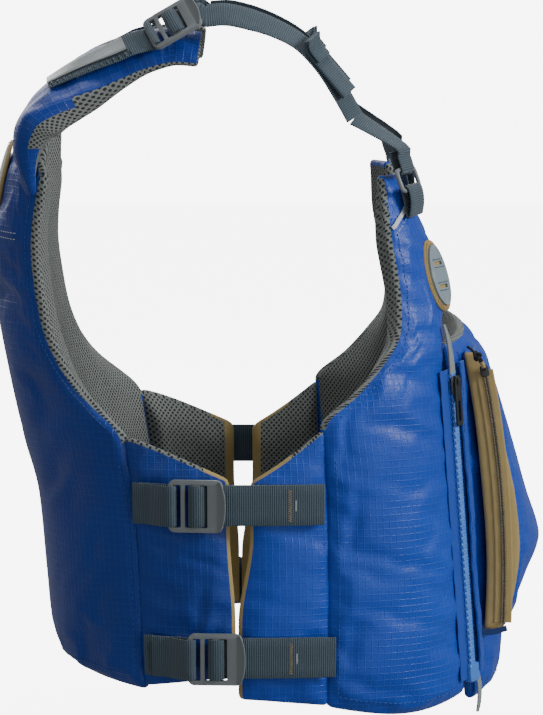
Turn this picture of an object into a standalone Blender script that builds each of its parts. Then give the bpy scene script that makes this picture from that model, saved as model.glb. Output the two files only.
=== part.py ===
"""A paddler's foam buoyancy vest: padded panels, webbing straps, buckles, zips and a chest pocket.

Metres, +Z up. The wearer faces -Y and the wearer's right side is -X. The origin is on the torso's
upright axis, level with the lowest hem.
"""

import math

import bmesh
import bpy
from mathutils import Matrix, Vector

# ---------------------------------------------------------------- driving dimensions
GAP = 0.0003
ROUNDNESS = 2.4
COVER = 0.0012
LINING = 0.0012
WEBBING = 0.0015
SIDE_WEB_WIDTH = 0.032
SHOULDER_WEB_WIDTH = 0.025
SHOULDER_X = 0.096

# Height of the outer surface's stations, then the surface's reach there.
HALF_WIDTH = [(0.0, 0.168), (0.1, 0.173), (0.2, 0.176), (0.3, 0.178), (0.4, 0.170), (0.46, 0.160)]
BACK_REACH = [
    (0.0, 0.132), (0.03, 0.144), (0.1, 0.150), (0.165, 0.156), (0.21, 0.168), (0.265, 0.180),
    (0.32, 0.190), (0.37, 0.195), (0.41, 0.193), (0.46, 0.179),
]
FRONT_REACH = [
    (0.0, 0.208), (0.1, 0.211), (0.2, 0.203), (0.28, 0.190), (0.33, 0.178), (0.37, 0.166),
    (0.40, 0.155), (0.43, 0.143), (0.46, 0.130),
]

# Angles are in degrees round the torso, from 0 at the back to 180 at the front.
BACK_EDGE = [
    (0.0, 61.5), (0.215, 61.5), (0.230, 59.0), (0.243, 53.2), (0.259, 45.4), (0.274, 40.6),
    (0.303, 34.9), (0.328, 33.5), (0.362, 32.9), (0.394, 33.9), (0.416, 36.0), (0.452, 39.0),
]
ARMHOLE_EDGE = [
    (0.0, 106.2), (0.232, 106.2), (0.258, 115.7), (0.282, 124.4), (0.300, 130.5), (0.325, 133.5),
    (0.349, 134.7), (0.385, 135.8), (0.425, 137.0),
]
NECK_EDGE = [(0.275, 146.0), (0.300, 150.0), (0.330, 156.0), (0.370, 158.0), (0.425, 153.0)]
BACK_TOP = 0.452
FRONT_TOP = 0.425
COLLAR_DIP = 0.300
SIDE_GAP = (88.5, 91.5)
ZIP_ANGLE = [(0.0, 151.5), (0.28, 148.0)]
ZIP_LOW = Vector((-0.0935, -0.1870, 0.022))
ZIP_HIGH = Vector((-0.1040, -0.1680, 0.272))
ZIP_HALF_OPENING = 3.8
ZIP_VALLEY = 9.0
TOOTH_PITCH = 0.0050
TOOTH_ROOT = 0.0022
TOOTH_REACH = 0.0018
ZIP_TAPE = 0.0050
ZIP_THICKNESS = 0.0024

BACK_FOAM = 0.028
SIDE_FOAM = 0.018
FRONT_FOAM = 0.026
FOAM_RIM = 0.35
WEB_LIFT = 0.0020

UPPER_STRAP = {"height": 0.174, "back_seam": 65.5, "centre": 81.5, "front_seam": 105.0}
LOWER_STRAP = {"height": 0.053, "back_seam": 64.5, "centre": 85.5, "front_seam": 105.0}

collection = None
cutters = None


# ---------------------------------------------------------------- scene and materials
def clear_scene():
    for obj in list(bpy.data.objects):
        bpy.data.objects.remove(obj, do_unlink=True)


def new_collection(name):
    made = bpy.data.collections.new(name)
    bpy.context.scene.collection.children.link(made)
    return made


def material(name, colour, roughness, metallic=0.0):
    made = bpy.data.materials.new(name)
    made.use_nodes = True
    shader = made.node_tree.nodes["Principled BSDF"]
    shader.inputs["Base Color"].default_value = (*colour, 1.0)
    shader.inputs["Roughness"].default_value = roughness
    shader.inputs["Metallic"].default_value = metallic
    made.diffuse_color = (*colour, 1.0)
    return made


def make_materials():
    return {
        "nylon": material("blue_nylon", (0.035, 0.105, 0.42), 0.45),
        "mesh": material("grey_mesh", (0.17, 0.19, 0.19), 0.85),
        "tan": material("tan_fabric", (0.49, 0.40, 0.21), 0.7),
        "foam": material("closed_cell_foam", (0.62, 0.62, 0.60), 0.9),
        "web": material("slate_webbing", (0.055, 0.095, 0.13), 0.7),
        "reflective": material("reflective_tape", (0.52, 0.55, 0.56), 0.35),
        "plastic": material("grey_plastic", (0.25, 0.28, 0.30), 0.4),
        "patch": material("grey_patch", (0.29, 0.36, 0.39), 0.6),
        "teeth": material("blue_zip_teeth", (0.09, 0.22, 0.60), 0.35),
        "black": material("black_plastic", (0.008, 0.011, 0.014), 0.4),
    }


# ---------------------------------------------------------------- curves and surfaces
def slope_at(before, here, after):
    """The slope at a station: none at a peak or a flat, so that the curve never overshoots."""
    low = (here[1] - before[1]) / (here[0] - before[0])
    high = (after[1] - here[1]) / (after[0] - here[0])
    return 0.0 if low * high <= 0 else 2 * low * high / (low + high)


def at(stations, height):
    """A smooth value between stations."""
    if height <= stations[0][0]:
        return stations[0][1]
    if height >= stations[-1][0]:
        return stations[-1][1]
    last = len(stations) - 1
    i = max(k for k in range(last) if stations[k][0] <= height)
    low, high = stations[i], stations[i + 1]
    step = high[0] - low[0]
    plain = (high[1] - low[1]) / step
    slope_low = slope_at(stations[i - 1], low, high) * step if i > 0 else plain * step
    slope_high = slope_at(low, high, stations[i + 2]) * step if i + 2 <= last else plain * step
    t = (height - low[0]) / step
    cubic = (2 * t**3 - 3 * t**2 + 1) * low[1] + (t**3 - 2 * t**2 + t) * slope_low
    return cubic + (3 * t**2 - 2 * t**3) * high[1] + (t**3 - t**2) * slope_high


def torso(angle, height):
    """The outer surface: a rounded oval at each height. Angles past 180 are the left side."""
    c = math.cos(math.radians(angle))
    s = math.sin(math.radians(angle))
    reach = at(BACK_REACH if c >= 0 else FRONT_REACH, height)
    power = 2 / ROUNDNESS
    x = -at(HALF_WIDTH, height) * math.copysign(abs(s) ** power, s)
    return Vector((x, math.copysign(abs(c) ** power, c) * reach, height))


def zip_line(height):
    return ZIP_LOW.lerp(ZIP_HIGH, (height - ZIP_LOW.z) / (ZIP_HIGH.z - ZIP_LOW.z))


def skin(angle, height):
    """The outer surface with the valley that the straight front zip lies in."""
    centre = at(ZIP_ANGLE, height)
    fade = min(1.0, max(0.0, (ZIP_HIGH.z + 0.03 - height) / 0.03))
    weight = fade * math.exp(-(((angle - centre) / ZIP_VALLEY) ** 2))
    return torso(angle, height) + (zip_line(height) - torso(centre, height)) * weight


def outward(angle, height):
    across = skin(angle + 0.5, height) - skin(angle - 0.5, height)
    rise = skin(angle, height + 0.002) - skin(angle, height - 0.002)
    return across.cross(rise).normalized()


def under(angle, height, depth):
    """A point that far below the outer surface, or above it where depth is negative."""
    return skin(angle, height) - outward(angle, height) * depth


# ---------------------------------------------------------------- making objects
def add_object(name, mesh, look, smooth=True):
    obj = bpy.data.objects.new(name, mesh)
    mesh.materials.clear()
    mesh.materials.append(look)
    if smooth:
        mesh.shade_smooth()
        mesh.set_sharp_from_angle(angle=math.radians(40))
    collection.objects.link(obj)
    return obj


def mesh_from(bm, name):
    bmesh.ops.recalc_face_normals(bm, faces=bm.faces)
    if bm.calc_volume(signed=True) < 0:
        bmesh.ops.reverse_faces(bm, faces=bm.faces)
    mesh = bpy.data.meshes.new(name)
    bm.to_mesh(mesh)
    bm.free()
    return mesh


def quilt(name, columns, rows, outer, inner, look, notch=None):
    """A closed slab between two surfaces. Each surface is a function of u and v from 0 to 1.

    notch gives the u below which, and the v above which, there is no slab.
    """
    bm = bmesh.new()
    bmesh.ops.create_grid(bm, x_segments=columns, y_segments=rows, size=0.5)
    if notch:
        middles = [(face, face.calc_center_median()) for face in bm.faces]
        gone = [f for f, c in middles if c.x + 0.5 < notch[0] and c.y + 0.5 > notch[1]]
        bmesh.ops.delete(bm, geom=gone, context="FACES")
    bmesh.ops.triangulate(bm, faces=bm.faces, quad_method="FIXED")
    bottom = list(bm.verts)
    made = bmesh.ops.extrude_face_region(bm, geom=list(bm.faces), use_keep_orig=True)
    top = [item for item in made["geom"] if isinstance(item, bmesh.types.BMVert)]
    for vert in bottom:
        vert.co = inner(vert.co.x + 0.5, vert.co.y + 0.5)
    for vert in top:
        vert.co = outer(vert.co.x + 0.5, vert.co.y + 0.5)
    return add_object(name, mesh_from(bm, name), look)


def loft(name, rings, look):
    """A closed solid through rings of equal point count, capped at both ends."""
    bm = bmesh.new()
    made = [[bm.verts.new(point) for point in ring] for ring in rings]
    count = len(made[0])
    for low, high in zip(made, made[1:]):
        for i in range(count):
            j = (i + 1) % count
            bm.faces.new((low[i], low[j], high[j], high[i]))
    bm.faces.new(made[0][::-1])
    bm.faces.new(made[-1])
    return add_object(name, mesh_from(bm, name), look)


def ribbon(name, centres, widths, thickness, look):
    """Webbing: a strip through the centre points, as wide as each width vector says."""
    bm = bmesh.new()
    rows = []
    for centre, width in zip(centres, widths):
        low = bm.verts.new(centre - width / 2)
        high = bm.verts.new(centre + width / 2)
        rows.append((low, high))
    for (a, b), (c, d) in zip(rows, rows[1:]):
        bm.faces.new((a, b, d, c))
    obj = add_object(name, mesh_from(bm, name), look, smooth=False)
    solid = obj.modifiers.new("Thickness", "SOLIDIFY")
    solid.thickness = thickness
    solid.offset = 0.0
    solid.use_even_offset = True
    return obj


def rounded_outline(half_length, half_width, radius, centre=0.0, steps=3):
    """The points of a rounded rectangle, anticlockwise."""
    points = []
    corners = [(1, 1, 0), (-1, 1, 90), (-1, -1, 180), (1, -1, 270)]
    for side_x, side_y, start in corners:
        for k in range(steps + 1):
            turn = math.radians(start + 90 * k / steps)
            x = centre + side_x * (half_length - radius) + radius * math.cos(turn)
            points.append((x, side_y * (half_width - radius) + radius * math.sin(turn)))
    return points


def flat_plate(name, outlines, thickness, look, frame):
    """A flat plate from 2D outlines, the first round the outside and the others holes."""
    curve = bpy.data.curves.new(name + "_outline", "CURVE")
    curve.dimensions = "2D"
    curve.fill_mode = "BOTH"
    curve.extrude = thickness / 2
    for outline in outlines:
        spline = curve.splines.new("POLY")
        spline.points.add(len(outline) - 1)
        for point, (x, y) in zip(spline.points, outline):
            point.co = (x, y, 0.0, 1.0)
        spline.use_cyclic_u = True
    guide = bpy.data.objects.new(name + "_guide", curve)
    collection.objects.link(guide)
    graph = bpy.context.evaluated_depsgraph_get()
    mesh = bpy.data.meshes.new_from_object(guide.evaluated_get(graph))
    bpy.data.objects.remove(guide)
    bm = bmesh.new()
    bm.from_mesh(mesh)
    bmesh.ops.remove_doubles(bm, verts=bm.verts, dist=0.00001)
    bmesh.ops.recalc_face_normals(bm, faces=bm.faces)
    bm.to_mesh(mesh)
    bm.free()
    obj = add_object(name, mesh, look, smooth=False)
    obj.matrix_world = frame
    return obj


def frame_of(origin, along, normal):
    """A placement with X along, Z on the normal and Y across."""
    z = normal.normalized()
    y = z.cross(along).normalized()
    x = y.cross(z)
    turned = Matrix((x, y, z)).transposed().to_4x4()
    return Matrix.Translation(origin) @ turned


def mirrored(obj, name):
    """The left-hand twin of a right-hand piece."""
    graph = bpy.context.evaluated_depsgraph_get()
    mesh = bpy.data.meshes.new_from_object(obj.evaluated_get(graph))
    mesh.transform(Matrix.Scale(-1, 4, (1, 0, 0)) @ obj.matrix_world)
    mesh.flip_normals()
    mesh.name = name
    twin = bpy.data.objects.new(name, mesh)
    collection.objects.link(twin)
    return twin


# ---------------------------------------------------------------- padded panels
def rim_fade(u, v, notch):
    """1 in the middle of a pad, falling to FOAM_RIM at its edges, where the foam is rounded off."""
    edge = min(u, 1 - u, v, 1 - v)
    if notch:
        edge = min(edge, max(u - notch[0], notch[1] - v))
    rise = min(1.0, edge / 0.16)
    return FOAM_RIM + (1 - FOAM_RIM) * math.sin(rise * math.pi / 2)


def panel(prefix, columns, rows, place, foam, looks, lining_look="mesh", notch=None):
    """Cover, foam and lining of one panel. place gives (angle, height) for u and v."""

    def layer(depth_of):
        return lambda u, v: under(*place(u, v), depth_of(u, v))

    def foam_depth(u, v):
        return COVER + GAP + foam * rim_fade(u, v, notch)

    cover = quilt(
        prefix + "_cover", columns, rows,
        layer(lambda u, v: 0.0), layer(lambda u, v: COVER), looks["nylon"], notch,
    )
    core = quilt(
        prefix + "_foam", columns, rows,
        layer(lambda u, v: COVER + GAP), layer(foam_depth), looks["foam"], notch,
    )
    lining = quilt(
        prefix + "_lining", columns, rows,
        layer(lambda u, v: foam_depth(u, v) + GAP),
        layer(lambda u, v: foam_depth(u, v) + GAP + LINING),
        looks[lining_look], notch,
    )
    return cover, core, lining


def back_place(u, v):
    low = 0.024 + 0.008 * math.sin(math.pi * u)
    height = low + (BACK_TOP - low) * v
    return (2 * u - 1) * at(BACK_EDGE, height), height


def back_side_place(u, v):
    angle = 62.1 + (SIDE_GAP[0] - 62.1) * u
    low = 0.026 + 0.010 * u
    top = 0.222 - 0.030 * u**1.4
    return angle, low + (top - low) * v


def front_side_place(u, v):
    angle = SIDE_GAP[1] + (105.6 - SIDE_GAP[1]) * u
    low = 0.018 - 0.006 * u
    top = 0.190 + 0.040 * u
    return angle, low + (top - low) * v


def front_right_place(u, v):
    low = 0.012 - 0.010 * math.sin(math.pi * u)
    height = low + (FRONT_TOP - low) * v
    near_zip = at(ZIP_ANGLE, height) - ZIP_HALF_OPENING
    inner = near_zip if height < 0.275 else at(NECK_EDGE, height)
    outer = at(ARMHOLE_EDGE, height)
    return outer + (inner - outer) * u, height


LEFT_COLUMNS, LEFT_ROWS = 14, 14
LEFT_NOTCH = (9 / LEFT_COLUMNS, 10 / LEFT_ROWS)


def front_left_place(u, v):
    """From the zip across the front to the left side: low at the collar, high at the yoke."""
    yoke, collar = LEFT_NOTCH
    low, dip = 0.004, COLLAR_DIP - 0.003
    if v <= collar:
        height = low + (dip - low) * v / collar
    else:
        height = dip + (FRONT_TOP - dip) * (v - collar) / (1 - collar)
    start = at(ZIP_ANGLE, height) + ZIP_HALF_OPENING
    neck = 360 - at(NECK_EDGE, max(height, dip))
    end = 360 - at(ARMHOLE_EDGE, height)
    if u <= yoke:
        return start + (neck - start) * u / yoke, height
    return neck + (end - neck) * (u - yoke) / (1 - yoke), height


def make_panels(looks):
    panel("back", 10, 12, back_place, BACK_FOAM, looks)
    for piece in panel("back_side_right", 4, 5, back_side_place, SIDE_FOAM, looks, "tan"):
        mirrored(piece, piece.name.replace("right", "left"))
    for piece in panel("front_side_right", 3, 5, front_side_place, SIDE_FOAM, looks, "tan"):
        mirrored(piece, piece.name.replace("right", "left"))
    panel("front_right", 5, 12, front_right_place, FRONT_FOAM, looks)
    panel(
        "front_left", LEFT_COLUMNS, LEFT_ROWS, front_left_place, FRONT_FOAM, looks,
        notch=LEFT_NOTCH,
    )


# ---------------------------------------------------------------- side straps
def strap_frame(strap):
    """The buckle's frame on the skin: X along the strap to the front, Y up, Z outward."""
    centre, height = strap["centre"], strap["height"]
    along = skin(centre + 1, height) - skin(centre - 1, height)
    return frame_of(skin(centre, height), along, outward(centre, height))


BUCKLE = {"half_length": 0.0215, "half_width": 0.0205, "thickness": 0.0032, "lift": 0.0075}
FIXED_BAR = -0.0195
BUCKLE_SLOTS = [(-0.0145, 0.0030), (-0.0050, 0.0032), (0.0062, 0.0032)]


def buckle_outlines(half_web):
    outer = rounded_outline(BUCKLE["half_length"], half_web + 0.0045, 0.004)
    slots = [rounded_outline(half, half_web + 0.0008, 0.0008, s, 1) for s, half in BUCKLE_SLOTS]
    return [outer] + slots


def loop_round_bar(radius):
    """Side view of webbing that turns round the fixed bar, from below it to above it."""
    turns = [math.radians(a) for a in range(-90, 91, 30)]
    lift = BUCKLE["lift"]
    return [(FIXED_BAR + radius * math.cos(t), lift + radius * math.sin(t)) for t in turns]


def back_web_route(strap, frame):
    """From the back seam to the fixed bar, round it and back on itself."""
    height = strap["height"]
    seam, near = strap["back_seam"], strap["centre"] - 11.5
    below = [seam + (near - seam) * k / 5 for k in range(6)]
    above = [near - 1.5, near - 3.5]
    points = [under(angle, height, -WEB_LIFT) for angle in below]
    points += [frame @ Vector((s, 0.0, n)) for s, n in loop_round_bar(0.0039)]
    points.append(frame @ Vector((FIXED_BAR - 0.0075, 0.0, 0.0085)))
    points += [under(angle, height, -WEB_LIFT - 0.0021) for angle in above]
    return points


def front_web_route(strap, frame):
    """From the front seam under the lip, over the middle bar, and out again as a tail."""
    height = strap["height"]
    seam, near = strap["front_seam"], strap["centre"] + 9.5
    load = [seam + (near - seam) * k / 6 for k in range(7)]
    points = [under(angle, height, -WEB_LIFT) for angle in load]
    weave = [(0.0120, 0.0018), (0.0, 0.0022), (-0.0040, 0.0036), (-0.0048, 0.0080),
             (-0.0032, 0.0104), (0.0036, 0.0104), (0.0062, 0.0084), (0.0070, 0.0058),
             (0.0100, 0.0044), (0.0200, 0.0042)]
    points += [frame @ Vector((s, 0.0, n)) for s, n in weave]
    points += [under(near + step, height, -WEB_LIFT - 0.0022) for step in (2.5, 5.0, 8.0)]
    return points


def make_side_strap(name, strap, looks):
    frame = strap_frame(strap)
    half_web = SIDE_WEB_WIDTH / 2
    lifted = frame @ Matrix.Translation((0, 0, BUCKLE["lift"]))
    buckle = flat_plate(
        f"side_buckle_{name}_right", buckle_outlines(half_web), BUCKLE["thickness"],
        looks["plastic"], lifted,
    )
    width = frame.to_3x3() @ Vector((0, SIDE_WEB_WIDTH, 0))
    pieces = [buckle]
    for part, route in (("back", back_web_route), ("front", front_web_route)):
        points = route(strap, frame)
        widths = [width] * len(points)
        strip = ribbon(f"side_web_{name}_{part}_right", points, widths, WEBBING, looks["web"])
        pieces.append(strip)
    for piece in pieces:
        mirrored(piece, piece.name.replace("right", "left"))


# ---------------------------------------------------------------- shoulders
PAD_STATIONS = [
    # y, z of the outer face, half width, thickness
    (0.1765, 0.4650, 0.027, 0.025), (0.1690, 0.4780, 0.027, 0.024), (0.1510, 0.4940, 0.026, 0.022),
    (0.1240, 0.5090, 0.024, 0.018), (0.0960, 0.5210, 0.021, 0.013), (0.0800, 0.5275, 0.019, 0.010),
]
SHOULDER_SPINE = [
    # y, z along the webbing from the buckle over the shoulder to the front ring
    (0.0270, 0.5500), (0.0100, 0.5510), (-0.0090, 0.5470), (-0.0290, 0.5400), (-0.0485, 0.5290),
    (-0.0660, 0.5110), (-0.0800, 0.4900), (-0.0915, 0.4700),
]
SHOULDER_BUCKLE_CENTRE = (0.0520, 0.5440)
BUCKLE_SLOPE = math.radians(30)
# How far the strap leans outward, in degrees, by how far back it is.
SHOULDER_ROLL = [(-0.09, 34), (-0.05, 30), (0.0, 42), (0.06, 45), (0.11, 38), (0.15, 14), (0.17, 0)]
TAPE_SHARE = 0.76
RING_ANGLE = 147.5
RING_HEIGHT = 0.4200
RING_LIFT = 0.0068


def side_point(y, z):
    return Vector((-SHOULDER_X, y, z))


def rolled(tangent, y):
    """Across and outward at the right shoulder: the strap leans with its outer edge lower."""
    upright = Vector((0, -tangent.z, tangent.y)).normalized()
    if upright.z < 0:
        upright = -upright
    roll = math.radians(at(SHOULDER_ROLL, y))
    c, s = math.cos(roll), math.sin(roll)
    return Vector((c, 0, 0)) + upright * s, upright * c - Vector((s, 0, 0))


def pad_ring(y, z, half_width, thickness, tangent):
    """A flattened oval across the shoulder, its outer face through the given point."""
    across, normal = rolled(tangent, y)
    centre = side_point(y, z) - normal * (thickness / 2)
    ring = []
    for k in range(12):
        turn = 2 * math.pi * k / 12
        c, s = math.cos(turn), math.sin(turn)
        wide = math.copysign(abs(c) ** 0.6, c) * half_width
        deep = math.copysign(abs(s) ** 0.6, s) * thickness / 2
        ring.append(centre + across * wide + normal * deep)
    return ring


def make_shoulder_pad(looks):
    points = [Vector((0, y, z)) for y, z, _, _ in PAD_STATIONS]
    rings = []
    for i, (y, z, half_width, thickness) in enumerate(PAD_STATIONS):
        tangent = points[min(i + 1, len(points) - 1)] - points[max(i - 1, 0)]
        rings.append(pad_ring(y, z, half_width, thickness, tangent.normalized()))
    pad = loft("shoulder_pad_right", rings, looks["nylon"])
    mirrored(pad, "shoulder_pad_left")


def shoulder_frame():
    """The shoulder buckle's frame: X forward and up the slope, Y across, Z outward."""
    along = Vector((0, -math.cos(BUCKLE_SLOPE), math.sin(BUCKLE_SLOPE)))
    y, z = SHOULDER_BUCKLE_CENTRE
    return frame_of(side_point(y, z), along, rolled(along, y)[1])


def across_of(frame, width):
    """The frame's Y axis as a width vector that points towards the wearer's left."""
    vector = frame.to_3x3() @ Vector((0, width, 0))
    return vector if vector.x > 0 else -vector


def above_pad(y, z, lift):
    """A point above the pad's outer face, near the top of the shoulder."""
    return side_point(y, z) + rolled(Vector((0, -0.866, 0.50)), y)[1] * lift


def web_across(points):
    """The leaning strap's width vector at each of its points."""
    last = len(points) - 1
    tangents = [points[min(i + 1, last)] - points[max(i - 1, 0)] for i in range(last + 1)]
    pairs = zip(tangents, points)
    return [rolled(tangent, point.y)[0] * SHOULDER_WEB_WIDTH for tangent, point in pairs]


def make_shoulder_straps(looks):
    frame = shoulder_frame()
    half_web = SHOULDER_WEB_WIDTH / 2
    buckle = flat_plate(
        "shoulder_buckle_right", buckle_outlines(half_web), BUCKLE["thickness"],
        looks["plastic"], frame,
    )
    across = across_of(frame, SHOULDER_WEB_WIDTH)

    loop = [frame @ Vector((s, 0.0, n - BUCKLE["lift"])) for s, n in loop_round_bar(0.0039)]
    daisy = [above_pad(0.1490, 0.4955, 0.0018), above_pad(0.1240, 0.5090, 0.0018)]
    daisy += [above_pad(0.0960, 0.5210, 0.0018), above_pad(0.0840, 0.5265, 0.0020)] + loop
    daisy_widths = web_across(daisy[:4]) + [across] * len(loop)
    strip = ribbon("daisy_webbing_right", daisy, daisy_widths, WEBBING, looks["web"])

    tape_path = [above_pad(0.1490, 0.4955, 0.0040), above_pad(0.1240, 0.5090, 0.0040)]
    tape_path += [above_pad(0.0960, 0.5210, 0.0040), above_pad(0.0880, 0.5248, 0.0040)]
    tape_widths = [width * TAPE_SHARE for width in web_across(tape_path)]
    tape = ribbon("reflective_tape_right", tape_path, tape_widths, 0.0008, looks["reflective"])

    weave = [(-0.0048, -0.0044), (-0.0048, 0.0008), (-0.0032, 0.0030), (0.0036, 0.0030),
             (0.0062, 0.0008), (0.0070, -0.0028), (0.0105, -0.0038), (0.0215, -0.0042)]
    start = [frame @ Vector((s, 0.0, n)) for s, n in weave]
    middle = [side_point(y, z) for y, z in SHOULDER_SPINE]
    end, end_width = ring_bight()
    widths = [across] * len(start) + web_across(middle) + [end_width] * len(end)
    web = ribbon("shoulder_web_right", start + middle + end, widths, WEBBING, looks["web"])

    route, width = keeper_route()
    keeper = ribbon(
        "strap_keeper_right", route, [width] * len(route), WEBBING, looks["web"],
    )
    for piece in (buckle, strip, tape, web, keeper):
        mirrored(piece, piece.name.replace("right", "left"))


def keeper_route():
    """A short folded flap that lies on the strap in front of the shoulder, its end turned up."""
    low, high = Vector((0, -0.0800, 0.4900)), Vector((0, -0.0485, 0.5290))
    along = (high - low).normalized()
    across, normal = rolled(along, -0.0660)
    steps = [(-0.030, 0.0034), (-0.015, 0.0030), (0.0, 0.0026), (0.016, 0.0030), (0.023, 0.0085)]
    middle = side_point(-0.0660, 0.5110)
    return [middle + along * s + normal * n for s, n in steps], across * SHOULDER_WEB_WIDTH * 0.92


def tube_ring(name, outline, radius, look, frame, sides=8):
    """A closed ring of round wire along a flat closed outline."""
    bm = bmesh.new()
    rings = []
    count = len(outline)
    for i, (x, y) in enumerate(outline):
        ahead = Vector(outline[(i + 1) % count]) - Vector(outline[i - 1])
        normal = Vector((ahead.y, -ahead.x)).normalized()
        ring = []
        for k in range(sides):
            turn = 2 * math.pi * k / sides
            out = radius * math.cos(turn)
            point = Vector((x + normal.x * out, y + normal.y * out, radius * math.sin(turn)))
            ring.append(bm.verts.new(point))
        rings.append(ring)
    for low, high in zip(rings, rings[1:] + rings[:1]):
        for k in range(sides):
            j = (k + 1) % sides
            bm.faces.new((low[k], low[j], high[j], high[k]))
    obj = add_object(name, mesh_from(bm, name), look)
    obj.matrix_world = frame
    return obj


RING_HALF_WIDTH = 0.0165
RING_HALF_DROP = 0.0085
RING_WIRE = 0.0018


def ring_frame():
    """The front ring's frame: X down the yoke, Y across it, Z outward."""
    down = skin(RING_ANGLE, RING_HEIGHT - 0.01) - skin(RING_ANGLE, RING_HEIGHT + 0.01)
    origin = under(RING_ANGLE, RING_HEIGHT, -RING_LIFT)
    return frame_of(origin, down, outward(RING_ANGLE, RING_HEIGHT))


def bight(centre, radius, start, end):
    """Points of webbing bent round a bar of the ring, in the ring's frame."""
    turns = [math.radians(start + (end - start) * k / 6) for k in range(7)]
    return [(centre + radius * math.cos(t), radius * math.sin(t)) for t in turns]


def ring_bight():
    """The shoulder strap's lower end, from outside the ring's top bar round it and up again."""
    frame = ring_frame()
    radius = RING_WIRE + GAP + WEBBING / 2 + 0.0004
    route = [(-0.0260, radius), (-0.0180, radius)] + bight(-RING_HALF_DROP, radius, 90, -90)[1:-1]
    route += [(-RING_HALF_DROP, -radius), (-0.0180, -radius), (-0.0240, -radius + 0.0008)]
    return [frame @ Vector((s, 0.0, n)) for s, n in route], across_of(frame, SHOULDER_WEB_WIDTH)


def make_front_ring(looks):
    frame = ring_frame()
    outline = rounded_outline(RING_HALF_DROP, RING_HALF_WIDTH, 0.006, 0.0, 4)
    ring = tube_ring("ring_right", outline, RING_WIRE, looks["plastic"], frame)
    width = across_of(frame, SHOULDER_WEB_WIDTH)
    radius = RING_WIRE + GAP + WEBBING / 2 + 0.0004
    route = [(0.0330, radius), (0.0200, radius)] + bight(RING_HALF_DROP, radius, 90, 270)[1:]
    route += [(0.0200, -radius), (0.0330, -radius)]
    points = [frame @ Vector((s, 0.0, n)) for s, n in route]
    loop = ribbon("ring_loop_right", points, [width] * len(points), WEBBING, looks["web"])
    for piece in (ring, loop):
        mirrored(piece, piece.name.replace("right", "left"))


# ---------------------------------------------------------------- front zip
def zip_frame():
    """X up the zip, Z outward, Y towards the wearer's right-hand half."""
    along = (ZIP_HIGH - ZIP_LOW).normalized()
    mid = (ZIP_LOW.z + ZIP_HIGH.z) / 2
    normal = outward(at(ZIP_ANGLE, mid), mid)
    return frame_of(ZIP_LOW, along, normal)


def comb_outline(length, side, phase):
    """One half of the zip: a straight tape edge, and teeth that reach over the middle."""
    root, tip = side * TOOTH_ROOT, -side * TOOTH_REACH
    points = [(0.0, side * ZIP_TAPE), (0.0, root)]
    tooth = TOOTH_PITCH * 0.36
    position = phase
    while position + tooth < length:
        points += [(position, root), (position + 0.0002, tip)]
        points += [(position + tooth - 0.0002, tip), (position + tooth, root)]
        position += TOOTH_PITCH
    points += [(length, root), (length, side * ZIP_TAPE)]
    return points


def zip_length():
    return (ZIP_HIGH - ZIP_LOW).length


def make_front_zip(looks):
    frame = zip_frame()
    for name, side, phase in (("right", 1, 0.004), ("left", -1, 0.004 + TOOTH_PITCH / 2)):
        outline = comb_outline(zip_length(), side, phase)
        flat_plate(f"zip_half_{name}", [outline], ZIP_THICKNESS, looks["teeth"], frame)


def block(name, low, high, frame, look=None, bevel=0.0):
    """A box between two corners of a frame: a piece if it has a look, or a helper shape."""
    bm = bmesh.new()
    made = bmesh.ops.create_cube(bm, size=1.0)
    for vert in made["verts"]:
        place = [(a + b) / 2 + c * (b - a) for a, b, c in zip(low, high, vert.co)]
        vert.co = Vector(place)
    mesh = mesh_from(bm, name)
    if look is None:
        obj = bpy.data.objects.new(name, mesh)
        obj.hide_render = True
        obj.display_type = "WIRE"
        cutters.objects.link(obj)
    else:
        obj = add_object(name, mesh, look, smooth=False)
    obj.matrix_world = frame
    if bevel:
        edge = obj.modifiers.new("Edges", "BEVEL")
        edge.width = bevel
        edge.segments = 2
    return obj


def combine(obj, other, operation):
    made = obj.modifiers.new(other.name, "BOOLEAN")
    made.operation = operation
    made.object = other
    return obj


SLIDER_FACE = ZIP_THICKNESS / 2 + 0.0006
SLIDER_PLATE = 0.0014
SLIDER_HALF_WIDTH = 0.0062
SLIDER_HALF_LENGTH = 0.0085
PULLER_HALF_WIDTH = 0.0044
PULLER_THICKNESS = 0.0018
PULLER_LENGTH = 0.0400


def slider_top():
    return zip_length() - 0.0120


def puller_level():
    return SLIDER_FACE + SLIDER_PLATE + 0.0006 + PULLER_THICKNESS / 2


def make_slider(looks):
    """Two plates joined by a flange on the left, with ears that hold the puller."""
    frame = zip_frame()
    top = slider_top()
    outer = SLIDER_FACE + SLIDER_PLATE
    low = (top - SLIDER_HALF_LENGTH, -SLIDER_HALF_WIDTH, -outer)
    high = (top + SLIDER_HALF_LENGTH, SLIDER_HALF_WIDTH, outer)
    slider = block("zip_slider", low, high, frame, looks["black"], 0.0006)
    channel_low = (top - 0.02, -ZIP_TAPE - 0.0003, -SLIDER_FACE)
    channel = block("slider_channel", channel_low, (top + 0.02, 0.02, SLIDER_FACE), frame)
    combine(slider, channel, "DIFFERENCE")
    pivot = top + SLIDER_HALF_LENGTH - 0.0030
    near = PULLER_HALF_WIDTH + 0.0003
    for side, name in ((1, "right"), (-1, "left")):
        inside, outside = sorted((side * near, side * (near + 0.0012)))
        ear_low = (pivot - 0.0020, inside, outer - 0.0004)
        ear_high = (pivot + 0.0020, outside, outer + 0.0030)
        combine(slider, block(f"slider_ear_{name}", ear_low, ear_high, frame), "UNION")


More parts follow.
